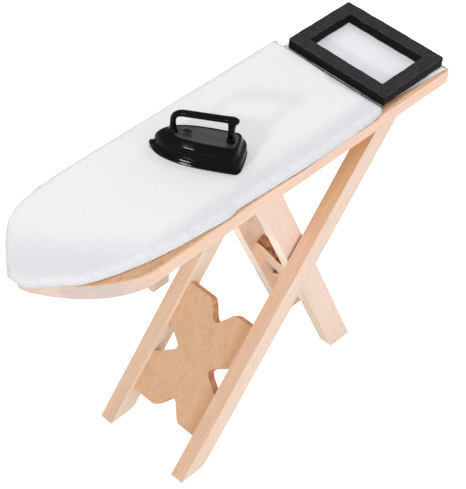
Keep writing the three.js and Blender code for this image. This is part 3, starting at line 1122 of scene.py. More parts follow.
@dataclass
class Board:
    """The plank with its nose cleat, hinge batten and rod."""

    nose_length: float = 17.7 * MM
    shoulder_in: float = 1.5 * MM
    shoulder_run: float = 11.0 * MM
    tip_reach: Span = (1.3 * MM, 3.2 * MM)
    step_in: float = 2.3 * MM
    corner_round: float = 0.9 * MM
    lower_round: float = 0.35 * MM
    upper_round: float = 0.4 * MM
    heel_round: float = 0.95 * MM
    heel_run: float = 6 * MM
    near_run: float = 10 * MM
    arris: float = 0.22 * MM
    rod_arris: float = 0.1 * MM
    # painted shade: nose_painted_shade darkens the sides of the board's nose end between these places
    nose_span: Span = (-28 * MM, -42 * MM)
    face: Colour = tint(244, 209, 188)
    nose_painted_shade: Colour = tint(205, 189, 182)
    edge: Colour = tint(232, 197, 163)
    top: Colour = tint(211, 169, 131)
    strip_edge: Colour = tint(208, 184, 170)
    steel: Colour = tint(176, 172, 164)
    tarnish: Colour = tint(110, 104, 96)

    def outline(self) -> np.ndarray:
        """The plank's outline, counter-clockwise from the heel's near corner.

        Returns:
            One row for each point.
        """
        low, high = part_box("board_top")
        half = high.y
        step_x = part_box("rest_pad")[0].x
        stepped = half - self.step_in
        shoulder = low.x + self.nose_length
        run = shoulder - self.shoulder_run
        bend = half - self.shoulder_in
        corner = self.corner_round
        points = curve((high.x - corner, -half), (high.x, -half), (high.x, -half + corner), steps=8)
        points += curve((high.x, -half + corner), (high.x, stepped - corner), steps=12)
        points += curve((high.x, stepped - corner), (high.x, stepped), (high.x - corner, stepped), steps=8)
        points += curve((high.x - corner, stepped), (step_x + corner, stepped), steps=10)
        points += curve((step_x + corner, stepped), (step_x, stepped), (step_x, stepped + corner), steps=5)
        points += curve((step_x, half - corner), (step_x, half), (step_x - corner, half), steps=5)
        points += curve((step_x - corner, half), (shoulder, half), steps=30)
        points += curve((shoulder, half), (run, bend), (low.x, self.tip_reach[1]), (low.x, 0.0), steps=30)
        points += curve((low.x, 0.0), (low.x, -self.tip_reach[0]), (run, -bend), (shoulder, -half), steps=30)
        points += curve((shoulder, -half), (high.x - corner, -half), steps=60)
        return np.array(points)

    def plank(self) -> None:
        """Builds and dresses the plank, rounder at the heel's near corner."""
        low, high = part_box("board_top")
        outline = self.outline()
        heel_share = np.clip((outline[:, 0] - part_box("rest_pad")[0].x) / self.heel_run, 0, 1)
        near_share = np.clip(-outline[:, 1] / self.near_run, 0, 1)
        upper = self.upper_round + (self.heel_round - self.upper_round) * heel_share * near_share
        made = piece("board_plank", slab(outline, (low.z, high.z), self.lower_round, upper))
        # painted shade on the sides of the board's nose end
        darkening = (self.nose_painted_shade, *self.nose_span)
        tones = (self.face, self.edge, self.top)
        wood = WoodFinish("board_wood", *tones, shift=3.7, darkening=darkening, painted_shade_on_sides=True)
        stand_in(dress(made, wood.make()), BOARD_BODY, Slot.WOOD, "board_top")

    def build(self) -> None:
        """Builds the plank and dresses what is fixed to it."""
        self.plank()
        wood = WoodFinish("strip_wood", self.edge, self.strip_edge, crosswise=True, shift=9.1).make()
        for node in ("nose_cleat", "hinge_batten"):
            keep(node, wood, self.arris)
        keep("hinge_rod", SteelFinish("rod_steel", self.steel, self.tarnish).make(), self.rod_arris)


# Padded cloth


@dataclass
class PaddedCloth:
    """A thin padded cloth, laid as rows of points from one end to the other.

    Its edge is a low upright wall with a round shoulder above, and cloth simulation puffs its upper side.
    Wave rates are features per millimetre.
    """

    name: str
    node: str
    thickness: float
    wall: float
    shoulder: float
    waviness: float
    puff_limit: float
    fill: float
    across: int = 49
    seed: float = 0.0
    rim_lift: float = 0.16 * MM
    rim_width: float = 0.9 * MM
    roundness: float = 2.4
    wave_rate: float = 0.16
    fine_rate: float = 0.6
    fine_share: float = 0.35
    sim_scale: float = 12.0
    sim_steps: int = 14
    sunk: float = 0.01 * MM

    def edges(self) -> Edges:
        """The cloth's two long edges.

        Returns:
            The near and the far edge, as equal numbers of points from the nose end to the heel end.
        """
        raise NotImplementedError

    def press(self, cloth: bpy.types.Object, base: float) -> None:
        """Flattens the cloth under what stands on it.

        Args:
            cloth: The cloth's object.
            base: Height of its lower side.
        """
        raise NotImplementedError

    def grid(self) -> np.ndarray:
        """The flat cloth.

        Returns:
            Rows of points from the nose end, each from the near to the far edge.
        """
        near, far = self.edges()
        shares = 0.5 - 0.5 * np.cos(np.linspace(0, math.pi, self.across))
        return near[:, None, :] * (1 - shares)[None, :, None] + far[:, None, :] * shares[None, :, None]

    def edge_distance(self, flat: np.ndarray) -> np.ndarray:
        """How far in from the cloth's outline the points of the grid are.

        Args:
            flat: The grid.

        Returns:
            A distance for each point.
        """
        near, far = self.edges()
        start = np.vstack((near, far[::-1]))
        run = np.roll(start, -1, axis=0) - start
        length = np.maximum((run**2).sum(1), TINY)
        points = flat.reshape(-1, 1, 2)
        share = np.clip(((points - start) * run).sum(2) / length, 0, 1)
        gap = points - (start + share[:, :, None] * run)
        return np.sqrt((gap**2).sum(2)).min(1).reshape(flat.shape[:2])

    def waves(self, flat: np.ndarray) -> np.ndarray:
        """The uneven filling, as slow waves with finer ones on them.

        Args:
            flat: The grid.

        Returns:
            A number for each point, mostly between -1 and 1.
        """
        made = []
        for x, y in flat.reshape(-1, 2) / MM:
            slow = noise.noise((x * self.wave_rate + self.seed, y * self.wave_rate, self.seed))
            fine = noise.noise((x * self.fine_rate, y * self.fine_rate + self.seed, 4.0))
            made.append(slow + self.fine_share * fine)
        return np.array(made).reshape(flat.shape[:2])

    def height(self, flat: np.ndarray, inset: np.ndarray) -> np.ndarray:
        """The upper side's height above the board.

        Args:
            flat: The grid.
            inset: How far in from the outline each point is.

        Returns:
            A height for each point.
        """
        share = np.clip(inset / self.shoulder, 0, 1)
        rise = self.wall + (self.thickness - self.wall) * (1 - (1 - share) ** self.roundness)
        return rise + self.waviness * self.waves(flat) * share

    def underside(self, flat: np.ndarray, inset: np.ndarray) -> np.ndarray:
        """The lower side's height above the board: none, but for a small lift along the rim.

        Args:
            flat: The grid.
            inset: How far in from the outline each point is.

        Returns:
            A height for each point.
        """
        return self.rim_lift * np.clip(1 - inset / self.rim_width, 0, 1) ** 2

    def build(self, slot: Slot, finish: bpy.types.Material) -> None:
        """Args:
            slot: Its material slot.
            finish: Its material.
        """
        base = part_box(self.node)[0].z
        flat = self.grid()
        inset = self.edge_distance(flat)
        upper = np.dstack((flat, base + self.height(flat, inset)))
        lower = np.dstack((flat, base + self.underside(flat, inset)))
        cloth = piece(self.name, self.skin(upper, lower))
        self.puff(cloth, base)
        self.press(cloth, base)
        dress(cloth, finish)
        stand_in(cloth, BOARD_BODY, slot, self.node)

    @staticmethod
    def skin(upper: np.ndarray, lower: np.ndarray) -> Skin:
        """Both sides of the cloth and the wall between them.

        Args:
            upper: Rows of points of the upper side.
            lower: Rows of points of the lower side.

        Returns:
            Points and faces.
        """
        rows, columns = upper.shape[:2]
        offset = rows * columns
        faces = []
        for row in range(rows - 1):
            for column in range(columns - 1):
                a = row * columns + column
                b, c, d = a + 1, a + columns + 1, a + columns
                faces.append([a, d, c, b])
                faces.append([offset + a, offset + b, offset + c, offset + d])
        rim = [row * columns for row in range(rows)]
        rim += [(rows - 1) * columns + column for column in range(1, columns)]
        rim += [row * columns + columns - 1 for row in range(rows - 2, -1, -1)]
        for here, there in zip(rim, rim[1:]):
            faces.append([here, there, offset + there, offset + here])
        return np.vstack((upper.reshape(-1, 3), lower.reshape(-1, 3))), faces

    def puff(self, cloth: bpy.types.Object, base: float) -> None:
        """Fills the cloth by simulation, with its lower side held, and limits how far a point moves.

        Args:
            cloth: The cloth's object.
            base: Height of its lower side.
        """
        rest = points_of(cloth)
        double = bpy.data.objects.new(self.name + "_puff", cloth.data.copy())
        scene = bpy.context.scene
        scene.collection.objects.link(double)
        move_points(double, rest * self.sim_scale)
        edge = base + self.wall * 1.05
        held = double.vertex_groups.new(name="held")
        held.add([index for index, point in enumerate(rest) if point[2] < edge], 1.0, "REPLACE")
        settings = double.modifiers.new("cloth", "CLOTH").settings
        settings.quality = 5
        settings.mass = 0.3
        settings.tension_stiffness = 12.0
        settings.compression_stiffness = 12.0
        settings.bending_stiffness = 0.4
        settings.use_pressure = True
        settings.uniform_pressure_force = 1.2
        settings.shrink_min = -0.006
        settings.vertex_group_mass = held.name
        settings.effector_weights.gravity = 0.0
        for step in range(self.sim_steps):
            scene.frame_set(step + 1)
        graph = bpy.context.evaluated_depsgraph_get()
        moved = points_of(double.evaluated_get(graph)) / self.sim_scale - rest
        length = np.maximum(np.linalg.norm(moved, axis=1), TINY)
        moved *= (self.puff_limit * np.tanh(length / self.puff_limit) / length)[:, None]
        move_points(cloth, rest + moved)
        bpy.data.objects.remove(double)
        scene.frame_set(1)


@dataclass
class Cover(PaddedCloth):
    """The cloth over the nose and the middle of the board.

    The lines of its edges are in millimetres: how far from the tip, and how far in from the board's side.
    """

    along: int = 181
    hang: float = 0.06 * MM
    hang_from: float = 0.15 * MM
    hang_run: float = 0.3 * MM
    seam_run: Span = (14.0 * MM, 80.5 * MM)
    seam_width: float = 0.15 * MM
    seam_drop: float = 0.3 * MM
    tip_out: float = 0.35 * MM
    tip_run: float = 12.0 * MM
    swell: float = 0.12 * MM
    swell_reach: float = 1.25
    swell_run: float = 0.2
    # colours of the line along the cloth's edge: dried adhesive and painted shadow
    joint_darkening: tuple[Colour, Colour] = (tint(190, 146, 118), tint(134, 98, 80))
    near_line: tuple[Spot, ...] = (
        (0.0, 15.4), (0.12, 14.2), (0.5, 12.9), (1.3, 11.7), (2.6, 10.6), (4.0, 9.6), (6.2, 7.6), (8.2, 6.0),
        (10.5, 5.0), (12.7, 4.15), (15.7, 3.3), (18.0, 2.75), (20.4, 2.2), (26.7, 1.2), (31.4, 0.8),
        (34.8, 0.42), (37.5, 0.18), (38.9, 0.12), (40.4, 0.45), (41.6, 0.62), (46.5, 0.42), (53.2, 0.08),
        (57.2, -0.08), (62.6, -0.24), (68.1, -0.32), (73.0, -0.38), (73.9, -0.2), (77.0, -0.2), (80.0, -0.05),
        (81.6, 0.35), (82.5, 1.1), (82.65, 2.2),
    )
    far_line: tuple[Spot, ...] = (
        (0.0, 15.4), (0.1, 14.2), (1.3, 12.4), (4.8, 7.8), (8.2, 4.2), (10.3, 2.8), (13.2, 1.6), (16.7, 0.9),
        (21.0, 0.42), (26.0, 0.27), (40.0, 0.25), (60.0, 0.25), (80.6, 0.25), (82.2, 0.7), (82.65, 2.0),
    )

    def edges(self) -> Edges:
        """The cloth's two long edges.

        Returns:
            The near and the far edge, from the tip to the heel end.
        """
        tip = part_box(self.node)[0].x
        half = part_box("board_top")[1].y
        lines = []
        for side, places in zip(Side, (self.near_line, self.far_line)):
            line = evened(through(places, 8), self.along) * MM
            out = self.tip_out * np.clip(1 - line[:, 0] / self.tip_run, 0, 1)
            lines.append(np.column_stack((tip + line[:, 0] - out, side.value * (half - line[:, 1]))))
        return lines[0], lines[1]

    def hanging(self, flat: np.ndarray) -> np.ndarray:
        """How far each point has passed the near side of the wood, from 0 to 1."""
        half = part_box("board_top")[1].y
        return np.clip((-flat[..., 1] - half + self.hang_from) / self.hang_run, 0, 1)

    def height(self, flat: np.ndarray, inset: np.ndarray) -> np.ndarray:
        """The upper side's height above the board, less where the cloth hangs over the wood."""
        return super().height(flat, inset) - 0.7 * self.hang * self.hanging(flat)

    def underside(self, flat: np.ndarray, inset: np.ndarray) -> np.ndarray:
        """The lower side's height above the board, below it where the cloth hangs over the wood."""
        over = self.hanging(flat)
        return super().underside(flat, inset) * (1 - 0.5 * over) - self.hang * over

    def seam(self) -> None:
        """Lays the dark line along the near edge of the cloth: dried adhesive and painted shadow."""
        near = self.edges()[0]
        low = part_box(self.node)[0]
        start, end = (low.x + run for run in self.seam_run)
        edge = near[(near[:, 0] > start) & (near[:, 0] < end)]
        over = self.hanging(edge)
        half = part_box("board_top")[1].y
        across = (edge[:, 1] + self.seam_width * 0.5) * (1 - over) - half * over
        height = low.z + self.seam_width * 0.4 - self.seam_drop * over
        line = np.column_stack((edge[:, 0], across, height))
        swells = [noise.noise((x / MM * 0.5, 0.0, 8.0)) for x in edge[:, 0]]
        radii = [self.seam_width * (0.8 + 0.35 * swell) for swell in swells]
        bead = dress(piece("adhesive_and_shadow_line", tube(line, radii, 8)), AdhesiveAndShadowFinish("adhesive_and_painted_shadow", *self.joint_darkening).make())
        stand_in(bead, BOARD_BODY, Slot.WOOD)

    def press(self, cloth: bpy.types.Object, base: float) -> None:
        """Flattens the cloth under the iron and lets it swell a little round the sole.

        Args:
            cloth: The cloth's object.
            base: Height of its lower side.
        """
        points = points_of(cloth)
        sole = ToyIron().placed_plan()
        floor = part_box("iron_sole")[0].z - self.sunk
        centre = sole.mean(0)
        share = np.array([reach(point, centre, sole) for point in points[:, :2]])
        inside = np.clip((self.swell_reach - share) / self.swell_run, 0, 1)
        ceiling = floor + self.swell * (1 - inside)
        upper = points[:, 2] > base + self.wall * 0.7
        points[upper, 2] = np.minimum(points[upper, 2], ceiling[upper])
        lift = inside * (points[:, 2] > base + self.thickness * 0.8)
        points[:, 2] += (floor - points[:, 2]) * lift
        move_points(cloth, points)


@dataclass
class RestPad(PaddedCloth):
    """The separate cloth on the heel of the board, under the iron rest."""

    near_heel_inset: float = 0.3 * MM
    near_front_inset: float = 2.1 * MM
    along: int = 45
    swell: float = 0.22 * MM
    swell_run: float = 2.5 * MM

    def edges(self) -> Edges:
        """The pad's two long edges.

        Returns:
            The near and the far edge, from the front to the heel end.
        """
        low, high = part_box(self.node)
        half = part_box("board_top")[1].y
        near_front = -half + self.near_front_inset
        near_heel = -half + self.near_heel_inset
        stations = 0.5 - 0.5 * np.cos(np.linspace(0, math.pi, self.along))
        xs = low.x + (high.x - low.x) * stations
        near = np.column_stack((xs, near_front + (near_heel - near_front) * stations))
        far = np.column_stack((xs, np.full(len(xs), high.y)))
        return near, far

    def press(self, cloth: bpy.types.Object, base: float) -> None:
        """Flattens the cloth under the iron rest, so that it only swells inside the rest's opening.

        Args:
            cloth: The cloth's object.
            base: Height of its lower side.
        """
        points = points_of(cloth)
        low, high = (np.array(corner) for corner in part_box("iron_rest_frame"))
        border = IronRest().border
        past_low = points[:, :2] - low[:2] - border
        past_high = high[:2] - border - points[:, :2]
        gap = np.minimum(past_low, past_high).min(1)
        ceiling = low[2] - self.sunk + self.swell * np.clip(gap / self.swell_run, 0, 1)
        points[:, 2] = np.minimum(points[:, 2], ceiling)
        move_points(cloth, points)


# The iron rest


@dataclass
class IronRest:
    """The flat black frame that the iron stands on when it is hot."""

    border: float = 3.05 * MM
    outer_corner: float = 0.4 * MM
    inner_corner: float = 0.18 * MM
    arris: float = 0.28 * MM
    wander: float = 0.13 * MM
    wander_rate: float = 0.42
    seed: int = 5
    side_steps: tuple[int, int] = (26, 34)
    corner_steps: int = 6
    coat: Colour = tint(41, 40, 43)
    # painted shade on the frame's walls
    wall: Colour = tint(12, 11, 12)
    rubbed: Colour = tint(78, 76, 82)

    def loop(self, inset: float, corner: float) -> np.ndarray:
        """A rectangle with rounded corners inside the rest's outline, of as many points for any inset.

        Args:
            inset: How far inside it is.
            corner: Radius of its corners.

        Returns:
            One row for each point, counter-clockwise from the near corner at the nose end.
        """
        low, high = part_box("iron_rest_frame")
        x0, y0, x1, y1 = low.x + inset, low.y + inset, high.x - inset, high.y - inset
        corners = np.array(((x0, y0), (x1, y0), (x1, y1), (x0, y1)))
        ways = corner * np.array(((1, 0), (0, 1), (-1, 0), (0, -1)))
        points = []
        for index, steps in enumerate(self.side_steps * 2):
            after = (index + 1) % 4
            end = corners[after] - ways[index]
            points += curve(corners[index] + ways[index], end, steps=steps)
            points += curve(end, corners[after], corners[after] + ways[after], steps=self.corner_steps)
        return np.array(points)

    def section(self, height: float) -> list[Spot]:
        """The outline of one bar, cut across.

        Args:
            height: The bar's height.

        Returns:
            Places across the bar and above its underside, from the outer lower edge upwards.
        """
        width, soft = self.border, self.arris
        cut = soft * 0.3
        outer = [(0.0, soft), (0.0, height / 2), (0.0, height - soft), (cut, height - cut), (soft, height)]
        inner = [(width / 2, height), (width - soft, height), (width - cut, height - cut)]
        inner += [(width, height - soft), (width, height / 2), (width, soft * 0.6)]
        return outer + inner + [(width - soft * 0.6, 0.0), (width / 2, 0.0), (soft * 0.6, 0.0)]

    def build(self) -> None:
        """Builds and dresses the frame, its upper edges a little uneven."""
        low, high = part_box("iron_rest_frame")
        outer = self.loop(0.0, self.outer_corner)
        inner = self.loop(self.border, self.inner_corner)
        height = high.z - low.z
        rings = []
        for across, level in self.section(height):
            rings.append(at_height(outer + (inner - outer) * (across / self.border), low.z + level))
        points, faces = loft(rings, closed=True)
        # Without a seed the vector noise starts from the clock.
        noise.seed_set(self.seed)
        shift = [noise.noise_vector(Vector((x, y, z * 1.6)) / MM * self.wander_rate) for x, y, z in points]
        moved = np.array([tuple(vector) for vector in shift]) * self.wander
        moved[:, 2] *= np.clip((points[:, 2] - low.z) / (height / 2), 0, 1) * 0.4
        paint = PaintFinish("rest_paint", self.coat, self.wall, self.rubbed)
        rest = dress(piece("rest_frame", (points + moved, faces)), paint.make())
        stand_in(rest, BOARD_BODY, Slot.PAINT, "iron_rest_frame")


# Legs


@dataclass(frozen=True)
class LegTones:
    """The colours of one leg: its side faces, its sawn edges, and a darkening along its edges that is painted
    shade. Some legs' face and edge tones also hold painted light.
    """

    face: Colour
    edge: Colour
    darkening: ColourSpan | None = None


@dataclass
class LegFrame:
    """Two legs, the crossed panel between them and, where the frame has them, its pins and plugs."""

    label: str
    slope: float
    tones: dict[Side, LegTones]
    panel_face: Colour
    cut_edge_tones: tuple[Colour, Colour]
    joint_darkening: ColourSpan | None = None
    pins: bool = False
    plugs: bool = False
    arris: float = 0.2 * MM
    panel_arris: float = 0.16 * MM
    pin_arris: float = 0.08 * MM
    plug_edge: float = 0.15 * MM
    plug_proud: float = 0.02 * MM
    plug_depth: float = 0.05 * MM
    point_radius: float = 0.2 * MM
    point_proud: float = 0.04 * MM
    disc_sides: int = 32

    def disc(self, side: Side, centre: Spot, radius: float, proud: float) -> Skin:
        """A thin round disc on the outer face of a leg.

        Args:
            side: The side of the board.
            centre: Its X and Z.
            radius: Its radius.
            proud: How far it stands out of the leg.

        Returns:
            Points and faces.
        """
        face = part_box(f"{self.label}_leg_{side.word}")[1 if side is Side.FAR else 0].y
        cosines, sines = circle(self.disc_sides)
        rings = []
        for depth, share in ((-self.plug_depth, 1.0), (proud * 0.5, 1.0), (proud, 0.85)):
            across = np.full(self.disc_sides, face + side.value * depth)
            size = radius * share
            rings.append(np.column_stack((centre[0] + size * cosines, across, centre[1] + size * sines)))
        return loft(rings)

    def plug(self, side: Side, wood: bpy.types.Material, steel: bpy.types.Material) -> None:
        """Closes the holes of the hinge rod and of the pin with wooden plugs, a pin's point in one of them.

        Args:
            side: The side of the board.
            wood: The leg's wood.
            steel: The pin's metal.
        """
        body = f"{self.label}_legs"
        for label, node in (("rod", "hinge_rod"), ("pin", f"pivot_pin_{side.word}")):
            low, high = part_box(node)
            centre = ((low.x + high.x) / 2, (low.z + high.z) / 2)
            skin = self.disc(side, centre, (high.x - low.x) / 2 + self.plug_edge, self.plug_proud)
            stand_in(dress(piece(f"{label}_plug_{side.word}", skin), wood), body, Slot.WOOD)
        point = piece(f"pin_point_{side.word}", self.disc(side, centre, self.point_radius, self.point_proud))
        stand_in(dress(point, steel), body, Slot.STEEL)

    def panel(self) -> WoodFinish:
        """The panel's thin wood, scorched along its cut edge; the inner panel's cut edge is darker still as
        painted shade.
        """
        return WoodFinish(
            f"{self.label}_panel_wood",
            self.panel_face,
            self.panel_face,
            slope=self.slope,
            shift=self.slope * 0.7,
            flecks=0.12,
            contrast=0.7,
            cut_edge_colours=self.cut_edge_tones,
            painted_joint_shade=self.joint_darkening,
            streak_rates=(800.0, 2000.0),
            cloud_rates=(260.0, 420.0),
        )

    def build(self) -> None:
        """Dresses the legs, the panel and the pins."""
        steel = SteelFinish(f"{self.label}_pin_steel", tint(206, 172, 146), tint(158, 122, 98)).make()
        for side, tones in self.tones.items():
            name = f"{self.label}_{side.word}_wood"
            shift = side.value * 2.3 + self.slope
            pair = (tones.face, tones.edge)
            wood = WoodFinish(name, *pair, slope=self.slope, shift=shift, darkening=tones.darkening).make()
            keep(f"{self.label}_leg_{side.word}", wood, self.arris)
            if self.plugs:
                self.plug(side, wood, steel)
        keep(f"{self.label}_x_panel", self.panel().make(), self.panel_arris)
        if self.pins:
            for side in Side:
                keep(f"pivot_pin_{side.word}", steel, self.pin_arris)


# The toy iron


@dataclass
class ToyIron:
    """The cast toy iron, drawn with its tip at the origin and its heel along +X, then turned and set down.

    The plan is in shares of the length and of the half width, from the tip to the stern. The bead's section
    is in shares of the bead, a height and a depth. All other tables are in millimetres. A row of the flank is
    a height, then how far in the sides, the bow and the heel are. The sole's face and top say the same with
    the height at the end. A row of a post is a height above the deck, a radius and a shift along the iron.
    """

    length: float = 18.4 * MM
    width: float = 8.2 * MM
    turn: float = 301.3
    tip_from_heel: float = 62.4 * MM
    tip_across: float = 8.7 * MM
    plan: tuple[Spot, ...] = (
        (0.0, 0.0), (0.1, 0.95), (0.6, 1.0), (0.82, 1.0), (0.945, 0.97), (0.99, 0.94), (1.0, 0.6),
    )
    plan_steps: tuple[int, ...] = (34, 18, 10, 12, 10, 18, 34)
    stern: float = 1.012

    sole_height: float = 1.3 * MM
    sole_face: tuple[float, ...] = (0.45, 0.8, 0.3, 0.0)
    sole_top: tuple[float, ...] = (0.9, 0.9, 0.6, 1.3)
    bead: float = 0.34 * MM
    upper_bead_in: float = 0.1 * MM
    heel_out: float = 0.3 * MM
    blunt: float = 0.25 * MM
    bead_section: tuple[Spot, ...] = (
        (-1.0, 0.62), (-0.9, 0.35), (-0.65, 0.12), (-0.3, 0.0), (-0.05, 0.02), (0.02, 0.06), (0.08, 0.1),
        (0.72, 0.56), (0.78, 0.61), (0.9, 0.78), (1.0, 1.0),
    )
    knob: tuple[float, ...] = (0.66, 0.95, 0.6)
    knob_turns: Span = (-0.49, 0.35)

    flank: tuple[tuple[float, ...], ...] = (
        (1.2, 0.5, 1.3, 0.2), (1.3, 0.22, 1.05, -0.1), (1.52, 0.12, 0.95, -0.2), (1.75, 0.2, 0.98, -0.2),
        (1.9, 0.38, 1.1, -0.18), (2.3, 0.4, 1.15, -0.14), (2.7, 0.37, 1.2, 0.05), (3.05, 0.4, 1.28, 0.4),
        (3.4, 0.5, 1.42, 0.56), (3.8, 0.7, 1.68, 0.62), (4.2, 0.98, 2.02, 0.68), (4.6, 1.27, 2.42, 0.78),
        (4.84, 1.46, 2.78, 0.9), (4.98, 1.66, 3.05, 1.05),
    )
    sunk: float = 0.16
    deck_insets: tuple[float, ...] = (0.22, 0.32, 1.2)

    deck: float = 5.0 * MM
    front_post: float = 4.7 * MM
    rear_post: float = 15.9 * MM
    front_levels: tuple[tuple[float, ...], ...] = (
        (-0.4, 1.2, -0.1), (0.1, 1.0, -0.08), (0.3, 0.84, 0.0), (0.8, 0.68, 0.0), (1.6, 0.6, 0.0),
        (2.4, 0.57, 0.0),
    )
    rear_levels: tuple[tuple[float, ...], ...] = (
        (-0.4, 0.9, 0.0), (0.1, 0.8, 0.0), (0.28, 0.84, 0.0), (0.5, 0.7, 0.0), (1.1, 0.66, 0.0),
        (2.4, 0.68, 0.02), (3.2, 0.72, 0.05), (4.0, 0.84, 0.12), (4.5, 0.98, 0.22), (4.85, 0.85, 0.28),
    )
    post_sides: int = 28
    bar: float = 0.7 * MM
    grip_rise: Span = (4.5 * MM, 4.85 * MM)
    elbow_foot: tuple[float, float, float] = (1.2 * MM, 1.8 * MM, 2.3 * MM)
    elbow_run: float = 2.4 * MM
    elbow_steps: int = 12
    grip_steps: int = 16
    cast_voxel: float = 0.08 * MM
    cast_smoothing: int = 5

    dial_at: float = 7.6 * MM
    dial_length: float = 1.4 * MM
    dial_radius: float = 0.52 * MM
    dial_groove: float = 0.62
    dial_ribs: int = 3
    rib_steps: int = 12
    rod: float = 0.15 * MM
    rod_level: float = 0.3 * MM

    def own_plan(self) -> np.ndarray:
        """The iron's outline about its own line, counter-clockwise from the tip.

        Returns:
            One row for each point.
        """
        half = self.width / 2
        right = [(self.length * along, -half * across) for along, across in self.plan]
        left = [(x, -y) for x, y in right[::-1]]
        controls = right + [(self.length * self.stern, 0.0)] + left
        points = []
        for index, steps in enumerate(self.plan_steps):
            points += curve(*controls[2 * index : 2 * index + 3], steps=steps)
        return np.array(points)

    def seat(self) -> Matrix:
        """Where the iron stands.

        Returns:
            Its turn and the place of its tip, as one matrix.
        """
        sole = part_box("iron_sole")[0].z
        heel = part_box("board_top")[1].x
        turned = Matrix.Rotation(math.radians(self.turn), 4, "Z")
        return Matrix.Translation((heel - self.tip_from_heel, self.tip_across, sole)) @ turned

    def placed_plan(self) -> np.ndarray:
        """The outline where the iron stands."""
        seat = self.seat()
        return np.array([tuple((seat @ Vector((x, y, 0.0))).xy) for x, y in self.own_plan()])

    def ring(self, side: float, bow: float, heel: float, height: float) -> np.ndarray:
        """The outline made smaller, at a height.

        Args:
            side: How far the sides are pulled in.
            bow: How far the bow is pulled in.
            heel: How far the heel is pulled in.
            height: The height.

        Returns:
            One row for each point.
        """
        outline = self.own_plan()
        half = self.width / 2
        x = bow + outline[:, 0] * (self.length - bow - heel) / self.length
        y = outline[:, 1] * (half - side) / half
        return at_height(np.column_stack((x, y)), height)

    def place(self, part: bpy.types.Object, slot: Slot, finish: bpy.types.Material, *nodes: str) -> None:
        """Sets a piece down on the cover and dresses it.

        Args:
            part: The piece.
            slot: Its material slot.
            finish: Its material.
            *nodes: Names of the nodes that it stands for.
        """
        part.data.transform(self.seat())
        dress(part, finish)
        stand_in(part, IRON_BODY, slot, *nodes)

    def sole(self) -> Skin:
        """The sole plate: two beads, one above the other, and the knob at its tip.

        Returns:
            Points and faces.
        """
        rings = [self.ring(*metres(*self.sole_face))]
        for centre, offset in ((self.bead, 0.0), (self.sole_height - self.bead, self.upper_bead_in)):
            for level, depth in self.bead_section:
                inset = offset + self.bead * depth
                height = centre + self.bead * level
                rings.append(self.ring(inset, inset + self.blunt, inset - self.heel_out, height))
        rings.append(self.ring(*metres(*self.sole_top)))
        x, z, radius = metres(*self.knob)
        turns = np.linspace(self.knob_turns[0] * math.pi, self.knob_turns[1] * math.pi, 12)
        path = [(x + radius * math.sin(turn), 0.0, z) for turn in turns] + [(x + 1.6 * radius, 0.0, z)]
        radii = [radius * math.cos(turn) for turn in turns] + [radius * 0.45]
        return joined((loft(rings), tube(path, radii, 24)))

    def shell(self) -> Skin:
        """The body: a third bead, a swelling flank, a raked bow, a fine rim and a sunk deck.

        Returns:
            Points and faces.
        """
        rings = []
        for height, side, bow, heel in through(self.flank, 5) * MM:
            rings.append(self.ring(side, bow, heel, height))
        top, side, bow, heel = metres(*self.flank[-1])
        steps = [(0.1, 0.0), (0.17, 0.03)] + [(inset, self.sunk) for inset in self.deck_insets]
        for inset, drop in steps:
            extra = inset * MM
            rings.append(self.ring(side + extra, bow + extra * 1.5, heel + extra, top - drop * MM))
        return loft(rings)

    def post(self, along: float, levels: Sequence[Sequence[float]]) -> Skin:
        """A round post on the deck.

        Args:
            along: Its distance from the tip.
            levels: Rows of its table.

        Returns:
            Points and faces.
        """
        cosines, sines = circle(self.post_sides)
        rings = []
        for height, radius, shift in through(levels, 4) * MM:
            flat = np.column_stack((along + shift + radius * cosines, radius * sines))
            rings.append(at_height(flat, self.deck + height))
        return loft(rings)

    def handle(self) -> bpy.types.Object:
        """The grip on its two posts, cast in one.

        Returns:
            The piece.
        """
        front, rear, bar = self.front_post, self.rear_post, self.bar
        low, middle, high = (self.deck + level for level in self.elbow_foot)
        left, right = (self.deck + rise for rise in self.grip_rise)
        bend = front + self.elbow_run
        line = [(front, low), (front, middle)]
        line += curve((front, high), (front, left - 0.05 * MM), (bend, left), steps=self.elbow_steps)
        line += curve((bend, left), (rear - 0.6 * MM, right), steps=self.grip_steps)
        line += [(rear - 0.6 * MM, right), (rear + 0.3 * MM, right), (rear + 0.8 * MM, right - 0.06 * MM)]
        radii = [bar * 0.8, bar * 0.8]
        radii += [bar * (0.82 + 0.18 * step / self.elbow_steps) for step in range(self.elbow_steps)]
        radii += [bar] * self.grip_steps + [bar * 1.05, bar * 1.12, bar * 0.98]
        grip = tube([(x, 0.0, z) for x, z in line], radii)
        cast = joined((grip, self.post(front, self.front_levels), self.post(rear, self.rear_levels)))
        return merged("iron_grip", cast, self.cast_voxel, self.cast_smoothing)

    def dial(self) -> Skin:
        """The ribbed barrel under the grip, with the thin rod that joins it to the front post.

        Returns:
            Points and faces.
        """
        stations = np.linspace(-0.5, 0.5, self.dial_ribs * self.rib_steps + 1)
        ribs = 1 - self.dial_groove * np.cos(math.pi * (stations + 0.5) * self.dial_ribs) ** 2
        level = self.deck + self.dial_radius * 0.85
        path = [(self.dial_at + share * self.dial_length, 0.0, level) for share in stations]
        barrel = tube(path, [self.dial_radius * rib for rib in ribs], 28)
        run = self.dial_at - self.front_post
        path = [(self.front_post + share * run, 0.0, self.deck + self.rod_level) for share in (0.0, 0.5, 1.0)]
        return joined((barrel, tube(path, [self.rod] * 3, 12)))

